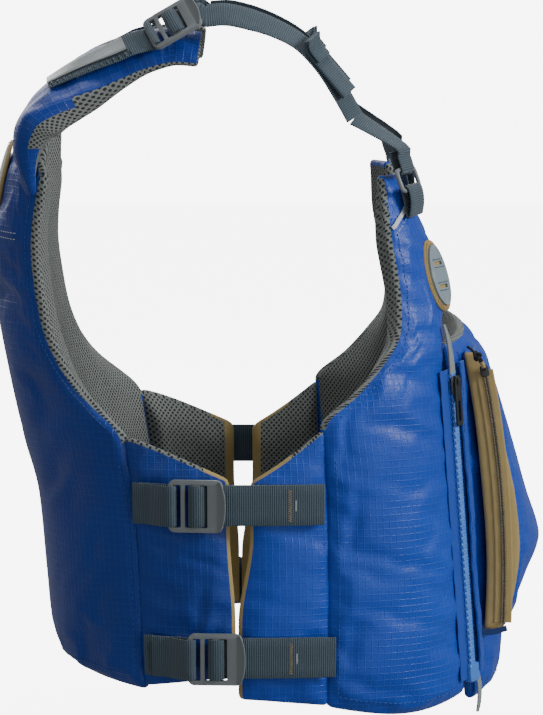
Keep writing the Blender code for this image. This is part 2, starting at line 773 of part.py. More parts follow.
def make_puller(looks):
    frame = zip_frame()
    pivot = slider_top() + SLIDER_HALF_LENGTH - 0.0030
    half = PULLER_LENGTH / 2
    outer = rounded_outline(half, PULLER_HALF_WIDTH, 0.0008, 0.0, 1)
    slot = rounded_outline(half - 0.0065, 0.0019, 0.0018, -0.0030, 3)
    middle = Vector((pivot + PULLER_THICKNESS / 2 - half, 0.0, puller_level()))
    place = frame @ Matrix.Translation(middle)
    flat_plate("zip_puller", [outer, slot], PULLER_THICKNESS, looks["black"], place)


def make_bottom_box(looks):
    """The insertion box round the lower end of both zip halves."""
    frame = zip_frame()
    low = (-0.0030, -0.0068, -0.0032)
    box = block("zip_bottom_box", low, (0.0110, 0.0068, 0.0032), frame, looks["teeth"], 0.0008)
    mouth = block("box_mouth", (-0.0003, -0.0054, -0.0016), (0.02, 0.0054, 0.0016), frame)
    combine(box, mouth, "DIFFERENCE")


# ---------------------------------------------------------------- pocket
POCKET_RIGHT = -0.0830
POCKET_LEFT = 0.0900
POCKET_LOW = 0.058
POCKET_HIGH = 0.283
POCKET_WALL = [
    (0.058, 0.2140), (0.090, 0.2200), (0.125, 0.2225), (0.200, 0.2134), (0.245, 0.2050),
    (0.275, 0.1960), (0.283, 0.1925),
]
POCKET_CROWN = [
    (0.058, 0.2180), (0.080, 0.2250), (0.100, 0.2340), (0.125, 0.2405), (0.160, 0.2330),
    (0.200, 0.2206), (0.245, 0.2070), (0.283, 0.1960),
]
GUSSET = 0.0010
COIL_ARC_RADIUS = 0.851
COIL_ARC_CENTRE = Vector((0.0, 0.6388, 0.1000))
COIL_TOP = 11.40


def chest_reach(x, height):
    """How far forward the plain outer surface is at that x."""
    share = (abs(x) / at(HALF_WIDTH, height)) ** ROUNDNESS
    return at(FRONT_REACH, height) * (1 - share) ** (1 / ROUNDNESS)


def pocket_front(x, height):
    """How far forward the pocket reaches: a steep right wall, a crown, and a low left edge."""
    u = (x - POCKET_RIGHT) / (POCKET_LEFT - POCKET_RIGHT)
    wall, crown = at(POCKET_WALL, height), at(POCKET_CROWN, height)
    left = chest_reach(POCKET_LEFT, height) + 0.010
    if u < 0.5:
        return wall + (crown - wall) * math.sin(math.pi * u)
    return left + (crown - left) * math.cos(math.pi * (u - 0.5)) ** 0.8


def make_pocket(looks):
    def place(u, v):
        x = POCKET_RIGHT + (POCKET_LEFT - POCKET_RIGHT) * u
        return x, POCKET_LOW + (POCKET_HIGH - POCKET_LOW) * v

    def front(u, v):
        x, height = place(u, v)
        return Vector((x, -max(pocket_front(x, height), chest_reach(x, height) + 0.004), height))

    def back(u, v):
        x, height = place(u, v)
        return Vector((x, -chest_reach(x, height) - 0.0022, height))

    quilt("pocket_body", 9, 9, front, back, looks["nylon"])

    def gusset_face(x):
        def point(u, v):
            height = POCKET_LOW + (POCKET_HIGH - 0.004 - POCKET_LOW) * v
            base = chest_reach(POCKET_RIGHT, height) + 0.0024
            return Vector((x, -base - (at(POCKET_WALL, height) - base) * u, height))
        return point

    outer = POCKET_RIGHT - GAP - GUSSET
    quilt("pocket_gusset", 2, 9, gusset_face(outer), gusset_face(POCKET_RIGHT - GAP), looks["tan"])


def coil_frame():
    """The pocket slider's frame at rest: X up the coil's arc, Z towards the wearer's right."""
    turn = math.radians(COIL_TOP)
    spoke = Vector((0, -math.cos(turn), math.sin(turn)))
    along = Vector((0, math.sin(turn), math.cos(turn)))
    origin = COIL_ARC_CENTRE + spoke * COIL_ARC_RADIUS
    origin.x = POCKET_RIGHT - GAP - GUSSET
    return frame_of(origin, along, Vector((-1, 0, 0)))


def make_pocket_slider(looks):
    frame = coil_frame()
    low, high = (-0.0045, -0.0034, 0.0004), (0.0045, 0.0034, 0.0030)
    block("pocket_slider", low, high, frame, looks["black"], 0.0005)
    route = [(0.0030, 0.0, 0.0046), (0.0075, 0.0010, 0.0058), (0.0115, 0.0025, 0.0062),
             (0.0140, 0.0038, 0.0062), (0.0165, 0.0052, 0.0062), (0.0200, 0.0075, 0.0062),
             (0.0225, 0.0100, 0.0060)]
    thick = [1.0, 1.0, 1.0, 2.3, 2.3, 1.0, 0.9]
    curve = bpy.data.curves.new("pocket_pull", "CURVE")
    curve.dimensions = "3D"
    curve.bevel_depth = 0.0012
    curve.bevel_resolution = 2
    curve.use_fill_caps = True
    spline = curve.splines.new("POLY")
    spline.points.add(len(route) - 1)
    for point, place, radius in zip(spline.points, route, thick):
        point.co = (*(frame @ Vector(place)), 1.0)
        point.radius = radius
    curve.materials.append(looks["black"])
    collection.objects.link(bpy.data.objects.new("pocket_pull", curve))


# ---------------------------------------------------------------- sewn-on patches
LASH_ANGLE = 152.0
LASH_HEIGHT = 0.345


def oval_outline(half_length, half_width, count=20):
    turns = [2 * math.pi * k / count for k in range(count)]
    return [(half_length * math.cos(t), half_width * math.sin(t)) for t in turns]


def make_lash_tab(looks):
    """A flat oval tab on the right chest, with two slots across it."""
    up = skin(LASH_ANGLE, LASH_HEIGHT + 0.01) - skin(LASH_ANGLE, LASH_HEIGHT - 0.01)
    origin = under(LASH_ANGLE, LASH_HEIGHT, -0.0030)
    frame = frame_of(origin, up, outward(LASH_ANGLE, LASH_HEIGHT))
    slots = [rounded_outline(0.0018, 0.0085, 0.0017, s, 2) for s in (-0.0095, 0.0095)]
    outline = [oval_outline(0.0270, 0.0170)] + slots
    flat_plate("lash_tab", outline, 0.0018, looks["patch"], frame)


def make_back_badge(looks):
    """A blank oval patch high on the back, curved with it."""
    middle, half_height, centre, half_angle = 0.422, 0.0265, 8.0, 7.0

    def face(lift):
        def point(u, v):
            x, y = 2 * u - 1, 2 * v - 1
            disc_x = x * math.sqrt(1 - y * y / 2)
            disc_y = y * math.sqrt(1 - x * x / 2)
            return under(centre + disc_x * half_angle, middle + disc_y * half_height, -lift)
        return point

    quilt("back_badge", 6, 6, face(0.0034), face(0.0022), looks["tan"])


# ---------------------------------------------------------------- the whole vest
def main():
    global collection, cutters
    clear_scene()
    collection = new_collection("buoyancy_vest")
    cutters = new_collection("cutters")
    looks = make_materials()
    make_panels(looks)
    make_side_strap("upper", UPPER_STRAP, looks)
    make_side_strap("lower", LOWER_STRAP, looks)
    make_shoulder_pad(looks)
    make_shoulder_straps(looks)
    make_front_ring(looks)
    make_front_zip(looks)
    make_slider(looks)
    make_puller(looks)
    make_bottom_box(looks)
    make_pocket(looks)
    make_pocket_slider(looks)
    make_lash_tab(looks)
    make_back_badge(looks)


main()
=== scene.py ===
import math

import bmesh
import bpy
from mathutils import Matrix, Vector
from mathutils.bvhtree import BVHTree


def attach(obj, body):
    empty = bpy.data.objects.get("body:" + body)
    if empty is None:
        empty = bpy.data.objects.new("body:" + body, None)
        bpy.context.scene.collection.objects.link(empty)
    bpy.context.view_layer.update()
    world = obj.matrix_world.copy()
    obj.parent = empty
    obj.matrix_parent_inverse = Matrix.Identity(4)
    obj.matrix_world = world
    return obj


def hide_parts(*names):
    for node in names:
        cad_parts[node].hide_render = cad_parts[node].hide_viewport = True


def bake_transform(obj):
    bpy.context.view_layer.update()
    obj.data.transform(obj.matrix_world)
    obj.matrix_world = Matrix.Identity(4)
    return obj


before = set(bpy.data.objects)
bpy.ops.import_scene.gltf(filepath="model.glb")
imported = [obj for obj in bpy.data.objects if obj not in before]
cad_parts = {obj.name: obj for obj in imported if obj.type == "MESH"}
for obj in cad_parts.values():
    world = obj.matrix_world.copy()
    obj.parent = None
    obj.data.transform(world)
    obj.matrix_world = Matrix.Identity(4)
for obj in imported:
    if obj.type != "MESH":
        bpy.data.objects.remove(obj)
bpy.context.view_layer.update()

# ================================================================ the torso surface, as the CAD model has it
ROUNDNESS = 2.4
HALF_WIDTH = [(0.0, 0.168), (0.1, 0.173), (0.2, 0.176), (0.3, 0.178), (0.4, 0.170), (0.46, 0.160)]
BACK_REACH = [
    (0.0, 0.132), (0.03, 0.144), (0.1, 0.150), (0.165, 0.156), (0.21, 0.168), (0.265, 0.180),
    (0.32, 0.190), (0.37, 0.195), (0.41, 0.193), (0.46, 0.179),
]
FRONT_REACH = [
    (0.0, 0.208), (0.1, 0.211), (0.2, 0.203), (0.28, 0.190), (0.33, 0.178), (0.37, 0.166),
    (0.40, 0.155), (0.43, 0.143), (0.46, 0.130),
]
BACK_EDGE = [
    (0.0, 61.5), (0.215, 61.5), (0.230, 59.0), (0.243, 53.2), (0.259, 45.4), (0.274, 40.6),
    (0.303, 34.9), (0.328, 33.5), (0.362, 32.9), (0.394, 33.9), (0.416, 36.0), (0.452, 39.0),
]
ARMHOLE_EDGE = [
    (0.0, 106.2), (0.232, 106.2), (0.258, 115.7), (0.282, 124.4), (0.300, 130.5), (0.325, 133.5),
    (0.349, 134.7), (0.385, 135.8), (0.425, 137.0),
]
NECK_EDGE = [(0.275, 146.0), (0.300, 150.0), (0.330, 156.0), (0.370, 158.0), (0.425, 153.0)]
FRONT_TOP, COLLAR_DIP = 0.425, 0.300
YOKE_NARROWING, YOKE_START, YOKE_RUN = 4.2, 0.372, 0.052
ARMHOLE_LOW, BACK_ARMHOLE_LOW, ZIP_TOP = 0.230, 0.218, 0.272
SIDE_GAP = (88.5, 91.5)
ZIP_ANGLE = [(0.0, 151.5), (0.28, 148.0)]
ZIP_LOW, ZIP_HIGH = Vector((-0.0935, -0.1870, 0.022)), Vector((-0.1040, -0.1680, 0.272))
ZIP_VALLEY = 9.0
BACK_FOAM, SIDE_FOAM, FRONT_FOAM, FOAM_RIM = 0.028, 0.018, 0.026, 0.35
UPPER_STRAP = {"height": 0.174, "back_seam": 65.5, "centre": 81.5, "front_seam": 105.0}
LOWER_STRAP = {"height": 0.053, "back_seam": 64.5, "centre": 85.5, "front_seam": 105.0}


def slope_at(before, here, after):
    low = (here[1] - before[1]) / (here[0] - before[0])
    high = (after[1] - here[1]) / (after[0] - here[0])
    return 0.0 if low * high <= 0 else 2 * low * high / (low + high)


def at(stations, height):
    if height <= stations[0][0]:
        return stations[0][1]
    if height >= stations[-1][0]:
        return stations[-1][1]
    last = len(stations) - 1
    i = max(k for k in range(last) if stations[k][0] <= height)
    low, high = stations[i], stations[i + 1]
    step = high[0] - low[0]
    plain = (high[1] - low[1]) / step
    slope_low = slope_at(stations[i - 1], low, high) * step if i > 0 else plain * step
    slope_high = slope_at(low, high, stations[i + 2]) * step if i + 2 <= last else plain * step
    t = (height - low[0]) / step
    cubic = (2 * t**3 - 3 * t**2 + 1) * low[1] + (t**3 - 2 * t**2 + t) * slope_low
    return cubic + (3 * t**2 - 2 * t**3) * high[1] + (t**3 - t**2) * slope_high


def torso(angle, height):
    c, s = math.cos(math.radians(angle)), math.sin(math.radians(angle))
    reach = at(BACK_REACH if c >= 0 else FRONT_REACH, height)
    power = 2 / ROUNDNESS
    x = -at(HALF_WIDTH, height) * math.copysign(abs(s) ** power, s)
    return Vector((x, math.copysign(abs(c) ** power, c) * reach, height))


def zip_line(height):
    return ZIP_LOW.lerp(ZIP_HIGH, (height - ZIP_LOW.z) / (ZIP_HIGH.z - ZIP_LOW.z))


def skin(angle, height):
    centre = at(ZIP_ANGLE, height)
    fade = min(1.0, max(0.0, (ZIP_HIGH.z + 0.03 - height) / 0.03))
    weight = fade * math.exp(-(((angle - centre) / ZIP_VALLEY) ** 2))
    return torso(angle, height) + (zip_line(height) - torso(centre, height)) * weight


def outward(angle, height):
    across = skin(angle + 0.5, height) - skin(angle - 0.5, height)
    rise = skin(angle, height + 0.002) - skin(angle, height - 0.002)
    return across.cross(rise).normalized()


def under(angle, height, depth):
    return skin(angle, height) - outward(angle, height) * depth


ARC_HEIGHT = 0.15
ARC = [0.0]
for _step in range(360):
    ARC.append(ARC[-1] + (torso(_step + 1, ARC_HEIGHT) - torso(_step, ARC_HEIGHT)).length)


def arc(angle):
    """Distance round the torso, so that a weave keeps its scale."""
    whole = math.floor(angle)
    part = angle - whole
    value = ARC[whole % 360] - (ARC[360] if whole < 0 else 0.0)
    return value + part * (ARC[whole % 360 + 1] - ARC[whole % 360])


def frame_of(origin, along, normal):
    z = normal.normalized()
    y = z.cross(along).normalized()
    x = y.cross(z)
    return Matrix.Translation(origin) @ Matrix((x, y, z)).transposed().to_4x4()


def smooth(t):
    t = min(1.0, max(0.0, t))
    return t * t * (3 - 2 * t)


# ================================================================ materials
def make(tree, kind, inputs=None, **settings):
    """A node with its settings, and its inputs set to numbers or linked to sockets."""
    made = tree.nodes.new(kind)
    for name, value in settings.items():
        setattr(made, name, value)
    for name, value in (inputs or {}).items():
        if isinstance(value, bpy.types.NodeSocket):
            tree.links.new(value, made.inputs[name])
        else:
            made.inputs[name].default_value = value
    return made


def math_node(tree, operation, a, b=0.0, clamp=False):
    return make(tree, "ShaderNodeMath", {0: a, 1: b}, operation=operation, use_clamp=clamp).outputs[0]


def mix_colour(tree, factor, a, b, blend="MIX"):
    made = make(tree, "ShaderNodeMix", data_type="RGBA", blend_type=blend)
    for socket, value in ((made.inputs[0], factor), (made.inputs[6], a), (made.inputs[7], b)):
        if isinstance(value, bpy.types.NodeSocket):
            tree.links.new(value, socket)
        else:
            socket.default_value = value
    return made.outputs[2]


def rgba(colour):
    return (*colour, 1.0)


def start_material(name, roughness=0.5, specular=0.5, metallic=0.0, sheen=0.0, sheen_roughness=0.4):
    material = bpy.data.materials.new(name)
    material.use_nodes = True
    tree = material.node_tree
    shader = tree.nodes["Principled BSDF"]
    shader.inputs["Roughness"].default_value = roughness
    shader.inputs["Specular IOR Level"].default_value = specular
    shader.inputs["Metallic"].default_value = metallic
    shader.inputs["Sheen Weight"].default_value = sheen
    shader.inputs["Sheen Roughness"].default_value = sheen_roughness
    return material, tree, shader


def uv_parts(tree):
    """The UV map's two numbers, in metres along the cloth."""
    coords = make(tree, "ShaderNodeUVMap", uv_map="UVMap")
    split = make(tree, "ShaderNodeSeparateXYZ", {0: coords.outputs[0]})
    return coords.outputs[0], split.outputs[0], split.outputs[1]


def lines(tree, value, spacing, width):
    """1 on thin lines that repeat at this spacing, 0 between them, with soft edges."""
    repeat = math_node(tree, "FRACT", math_node(tree, "DIVIDE", value, spacing))
    away = math_node(tree, "ABSOLUTE", math_node(tree, "SUBTRACT", repeat, 0.5))
    share = width / spacing / 2
    rising = make(tree, "ShaderNodeMapRange", {0: away, 1: share, 2: share * 2.2, 3: 1.0, 4: 0.0})
    return rising.outputs[0]


def wave(tree, value, spacing):
    """A smooth ripple from 0 to 1 at this spacing."""
    turn = math_node(tree, "MULTIPLY", value, 2 * math.pi / spacing)
    return math_node(tree, "ADD", math_node(tree, "MULTIPLY", math_node(tree, "SINE", turn), 0.5), 0.5)


def noise(tree, vector, scale, detail=3.0, roughness=0.55):
    inputs = {"Vector": vector, "Scale": scale, "Detail": detail, "Roughness": roughness}
    return make(tree, "ShaderNodeTexNoise", inputs).outputs[0]


def bump(tree, shader, height, distance, strength=1.0, after=None):
    inputs = {"Height": height, "Distance": distance, "Strength": strength}
    if after is not None:
        inputs["Normal"] = after
    made = make(tree, "ShaderNodeBump", inputs)
    tree.links.new(made.outputs[0], shader.inputs["Normal"])
    return made.outputs[0]


def object_coords(tree):
    return make(tree, "ShaderNodeTexCoord").outputs["Object"]


RIPSTOP_PITCH, RIPSTOP_THREAD, WEAVE_PITCH = 0.0052, 0.00048, 0.00075
MESH_PITCH, RIB_PITCH, WEFT_PITCH = 0.0046, 0.0017, 0.0011


def nylon_material(name, colour, shade, line_colour):
    """Ripstop nylon: a fine plain weave with a grid of thicker threads, a satin face, small creases."""
    material, tree, shader = start_material(name, 0.38, 0.40, sheen=0.06, sheen_roughness=0.35)
    _, u, v = uv_parts(tree)
    threads = [lines(tree, value, RIPSTOP_PITCH, RIPSTOP_THREAD) for value in (u, v)]
    grid = math_node(tree, "MAXIMUM", *threads)
    place = object_coords(tree)
    broad = noise(tree, place, 9.0, 3.0)
    fine = noise(tree, place, 620.0, 2.0)
    tint = make(tree, "ShaderNodeMapRange", {0: broad, 1: 0.3, 2: 0.7}).outputs[0]
    base = mix_colour(tree, tint, rgba(shade), rgba(colour))
    worn = math_node(tree, "MULTIPLY", grid, 0.22)
    tree.links.new(mix_colour(tree, worn, base, rgba(line_colour)), shader.inputs["Base Color"])
    rough = make(tree, "ShaderNodeMapRange", {0: fine, 1: 0.3, 2: 0.7, 3: 0.33, 4: 0.45}).outputs[0]
    tree.links.new(rough, shader.inputs["Roughness"])
    weave = math_node(tree, "MULTIPLY", wave(tree, u, WEAVE_PITCH), wave(tree, v, WEAVE_PITCH))
    creases = noise(tree, place, 46.0, 4.0, 0.6)
    first = bump(tree, shader, creases, 0.0022, 0.35)
    second = bump(tree, shader, grid, 0.00022, 0.8, first)
    bump(tree, shader, weave, 0.00008, 0.6, second)
    return material


def mesh_material(name, colour, hole, shade):
    """Knitted spacer mesh with rows of round holes, painted near-black as painted shade for their depth."""
    material, tree, shader = start_material(name, 0.9, 0.2, sheen=0.15)
    coords, _, _ = uv_parts(tree)
    scale = 1 / MESH_PITCH
    stretch = {0: coords, 1: (scale, scale, 1)}
    first = make(tree, "ShaderNodeVectorMath", stretch, operation="MULTIPLY").outputs[0]
    shift = {0: first, 1: (0.5, 0.5, 0.0)}
    second = make(tree, "ShaderNodeVectorMath", shift, operation="ADD").outputs[0]
    cells = []
    for vector in (first, second):
        inputs = {"Vector": vector, "Scale": 1.0, "Randomness": 0.06}
        cells.append(make(tree, "ShaderNodeTexVoronoi", inputs, voronoi_dimensions="2D").outputs[0])
    near = math_node(tree, "MINIMUM", *cells)
    open_part = make(tree, "ShaderNodeMapRange", {0: near, 1: 0.17, 2: 0.27, 3: 1.0, 4: 0.0}).outputs[0]
    place = object_coords(tree)
    broad = noise(tree, place, 14.0, 4.0)
    knit = noise(tree, place, 900.0, 2.0)
    cloth = mix_colour(tree, broad, rgba(shade), rgba(colour))
    cloth = mix_colour(tree, math_node(tree, "MULTIPLY", knit, 0.35), cloth, rgba([c * 1.5 for c in colour]))
    # Painted shade: the holes take the near-black hole colour, standing in for the shade inside them.
    tree.links.new(mix_colour(tree, open_part, cloth, rgba(hole)), shader.inputs["Base Color"])
    height = math_node(tree, "SUBTRACT", knit, math_node(tree, "MULTIPLY", open_part, 2.5))
    soft = bump(tree, shader, noise(tree, place, 60.0, 3.0), 0.002, 0.3)
    bump(tree, shader, height, 0.0004, 0.8, soft)
    return material


def woven_material(name, colour, shade, roughness=0.7, pitch=0.0009):
    """Plain woven cloth with a soft uneven face."""
    material, tree, shader = start_material(name, roughness, 0.3, sheen=0.2)
    _, u, v = uv_parts(tree)
    weave = math_node(tree, "MULTIPLY", wave(tree, u, pitch), wave(tree, v, pitch))
    place = object_coords(tree)
    tone = noise(tree, place, 30.0, 4.0)
    tree.links.new(mix_colour(tree, tone, rgba(shade), rgba(colour)), shader.inputs["Base Color"])
    soft = bump(tree, shader, noise(tree, place, 70.0, 3.0), 0.0015, 0.35)
    bump(tree, shader, weave, 0.0001, 0.7, soft)
    return material


def webbing_material(name, colour, shade, light):
    """Ribbed webbing: ribs across it with a painted highlight on their crests, and slightly uneven colour."""
    material, tree, shader = start_material(name, 0.62, 0.35, sheen=0.3)
    _, u, v = uv_parts(tree)
    ribs = wave(tree, u, RIB_PITCH)
    cross = wave(tree, v, WEFT_PITCH)
    place = object_coords(tree)
    tone = noise(tree, place, 60.0, 3.0)
    base = mix_colour(tree, tone, rgba(shade), rgba(colour))
    # Painted highlight: the rib crests are painted toward the paler slate colour, as the lit tops of the
    # ribs.
    lit = math_node(tree, "MULTIPLY", math_node(tree, "POWER", ribs, 2.0), 0.45)
    tree.links.new(mix_colour(tree, lit, base, rgba(light)), shader.inputs["Base Color"])
    height = math_node(tree, "ADD", math_node(tree, "MULTIPLY", cross, 0.3), ribs)
    bump(tree, shader, height, 0.0004, 0.8)
    return material


def plastic_material(name, colour, worn, roughness=0.42):
    """Moulded plastic: fine texture, edges rubbed a little paler."""
    material, tree, shader = start_material(name, roughness, 0.5)
    place = object_coords(tree)
    pointed = make(tree, "ShaderNodeNewGeometry").outputs["Pointiness"]
    edges = make(tree, "ShaderNodeMapRange", {0: pointed, 1: 0.50, 2: 0.58}).outputs[0]
    tone = noise(tree, place, 120.0, 3.0)
    wear = math_node(tree, "MULTIPLY", edges, tone)
    tree.links.new(mix_colour(tree, wear, rgba(colour), rgba(worn)), shader.inputs["Base Color"])
    rough = make(tree, "ShaderNodeMapRange", {0: tone, 3: roughness - 0.06, 4: roughness + 0.1}).outputs[0]
    tree.links.new(rough, shader.inputs["Roughness"])
    bump(tree, shader, noise(tree, place, 1500.0, 2.0), 0.0001, 0.35)
    return material


def reflective_material(name, colour):
    material, tree, shader = start_material(name, 0.35, 0.6, metallic=0.35)
    place = object_coords(tree)
    beads = make(tree, "ShaderNodeTexVoronoi", {"Vector": place, "Scale": 1400.0}).outputs[0]
    tone = noise(tree, place, 80.0, 3.0)
    dull = rgba([c * 0.72 for c in colour])
    base = mix_colour(tree, math_node(tree, "MULTIPLY", tone, 0.5), rgba(colour), dull)
    tree.links.new(base, shader.inputs["Base Color"])
    bump(tree, shader, beads, 0.00012, 0.6)
    return material


def thread_material(name, colour):
    material, tree, shader = start_material(name, 0.6, 0.3, sheen=0.2)
    tone = noise(tree, object_coords(tree), 900.0, 2.0)
    dark = rgba([c * 0.7 for c in colour])
    tree.links.new(mix_colour(tree, tone, dark, rgba(colour)), shader.inputs["Base Color"])
    return material


def floor_material():
    material, tree, shader = start_material("studio_floor", 0.8, 0.2)
    tone = noise(tree, object_coords(tree), 3.0, 2.0)
    grey = mix_colour(tree, tone, (0.86, 0.86, 0.87, 1), (0.90, 0.90, 0.90, 1))
    tree.links.new(grey, shader.inputs["Base Color"])
    shader.inputs["Emission Color"].default_value = (1.0, 1.0, 1.0, 1.0)
    shader.inputs["Emission Strength"].default_value = FLOOR_GLOW
    return material


def backdrop_material():
    """A plain white surround, evenly lit."""
    material, _, shader = start_material("studio_backdrop", 0.9, 0.0)
    shader.inputs["Emission Color"].default_value = (1.0, 1.0, 1.0, 1.0)
    shader.inputs["Emission Strength"].default_value = BACKDROP_GLOW
    return material


LOOKS = {
    "nylon": nylon_material(
        "ripstop_blue", (0.006, 0.066, 0.47), (0.004, 0.050, 0.38), (0.022, 0.125, 0.60),
    ),
    # A darker copy of the same ripstop blue: painted shade for the back, back side and shoulder panels, which
    # face away from the key light.
    "nylon_painted_shade": nylon_material(
        "ripstop_blue_painted_shade", (0.004, 0.040, 0.30), (0.003, 0.030, 0.23), (0.014, 0.080, 0.42),
    ),
    # The mesh's second colour is the painted shade inside its holes.
    "mesh": mesh_material(
        "spacer_mesh", (0.215, 0.235, 0.225), (0.030, 0.034, 0.034), (0.15, 0.165, 0.16),
    ),
    "binding": woven_material("mesh_binding", (0.26, 0.29, 0.30), (0.18, 0.20, 0.21), 0.8, 0.0012),
    "tan": woven_material("tan_nylon", (0.43, 0.325, 0.135), (0.33, 0.245, 0.095)),
    # The webbing's third colour is the painted highlight on its rib crests.
    "web": webbing_material(
        "slate_webbing", (0.040, 0.068, 0.092), (0.027, 0.047, 0.065), (0.12, 0.175, 0.22),
    ),
    "reflective": reflective_material("reflective_tape", (0.33, 0.36, 0.37)),
    "plastic": plastic_material("grey_acetal", (0.145, 0.165, 0.175), (0.30, 0.33, 0.345)),
    "patch": plastic_material("grey_rubber_patch", (0.20, 0.265, 0.30), (0.30, 0.36, 0.39), 0.55),
    "badge": woven_material("pale_badge", (0.56, 0.55, 0.50), (0.46, 0.45, 0.40), 0.7, 0.0007),
    "teeth": plastic_material("blue_teeth", (0.040, 0.17, 0.60), (0.14, 0.32, 0.76), 0.33),
    "tape": woven_material("zip_tape_blue", (0.010, 0.070, 0.42), (0.007, 0.052, 0.34), 0.55, 0.0010),
    "tape_dark": woven_material("zip_end_blue", (0.012, 0.040, 0.17), (0.008, 0.028, 0.12), 0.55, 0.0010),
    "piping": woven_material("pale_piping", (0.62, 0.64, 0.66), (0.50, 0.52, 0.54), 0.6, 0.0010),
    "black": plastic_material("black_acetal", (0.010, 0.012, 0.015), (0.05, 0.055, 0.06), 0.38),
    "cord": woven_material("black_cord", (0.015, 0.016, 0.018), (0.008, 0.008, 0.010), 0.75, 0.0006),
    "coil": plastic_material("tan_coil", (0.17, 0.14, 0.085), (0.30, 0.25, 0.16), 0.45),
    "thread_white": thread_material("white_thread", (0.72, 0.74, 0.76)),
    "thread_tan": thread_material("tan_thread", (0.62, 0.40, 0.16)),
    "thread_blue": thread_material("blue_thread", (0.045, 0.13, 0.46)),
    "thread_slate": thread_material("slate_thread", (0.07, 0.10, 0.13)),
}


# ================================================================ making pieces
def link(name, mesh, looks):
    for look in looks:
        mesh.materials.append(LOOKS[look])
    obj = bpy.data.objects.new(name, mesh)
    bpy.context.scene.collection.objects.link(obj)
    return obj


def from_bmesh(name, bm, looks):
    mesh = bpy.data.meshes.new(name)
    bm.to_mesh(mesh)
    bm.free()
    obj = link(name, mesh, looks)
    mesh.shade_smooth()
    return obj


def settle(obj, body, slot, *nodes):
    """Rides on its body and stands for these CAD nodes; the slot is not used."""
    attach(obj, body)
    if nodes:
        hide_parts(*nodes)
    return obj


def twin(obj, name):
    """The left-hand mirror image, with the same smoothing."""
    mesh = obj.data.copy()
    mesh.transform(Matrix.Scale(-1, 4, (1, 0, 0)) @ obj.matrix_world)
    mesh.flip_normals()
    made = bpy.data.objects.new(name, mesh)
    bpy.context.scene.collection.objects.link(made)
    for modifier in obj.modifiers:
        if modifier.type == "SUBSURF":
            subdivide(made, modifier.levels)
    return made


def left_of(obj):
    return twin(obj, obj.name.replace("right", "left"))


def subdivide(obj, levels=1):
    made = obj.modifiers.new("Smooth", "SUBSURF")
    made.levels = levels
    made.render_levels = levels
    return obj


def rim_fade(edge):
    return FOAM_RIM + (1 - FOAM_RIM) * math.sin(min(1.0, edge / 0.16) * math.pi / 2)


def share_edge(u, v, notch):
    edge = min(u, 1 - u, v, 1 - v)
    return min(edge, max(u - notch[0], notch[1] - v)) if notch else edge


PUCKER_DEPTH, PUCKER_FADE = 0.0015, 0.022


def pucker(place, away):
    """Small creases that run in from a seam and fade with the distance from it."""
    s, h = place
    across = math.sin(2 * math.pi * (h + 0.30 * s) / 0.0175 + 1.8 * math.sin(h * 61 + s * 17))
    upright = math.sin(2 * math.pi * (s - 0.25 * h) / 0.0210 + 1.6 * math.sin(s * 47 + 2.0))
    return (0.6 * across + 0.4 * upright) * PUCKER_DEPTH * math.exp(-away / PUCKER_FADE)


RIM_STEPS, MOST_SWELL, SEAM_SLOPE = 5, 0.0075, 0.010


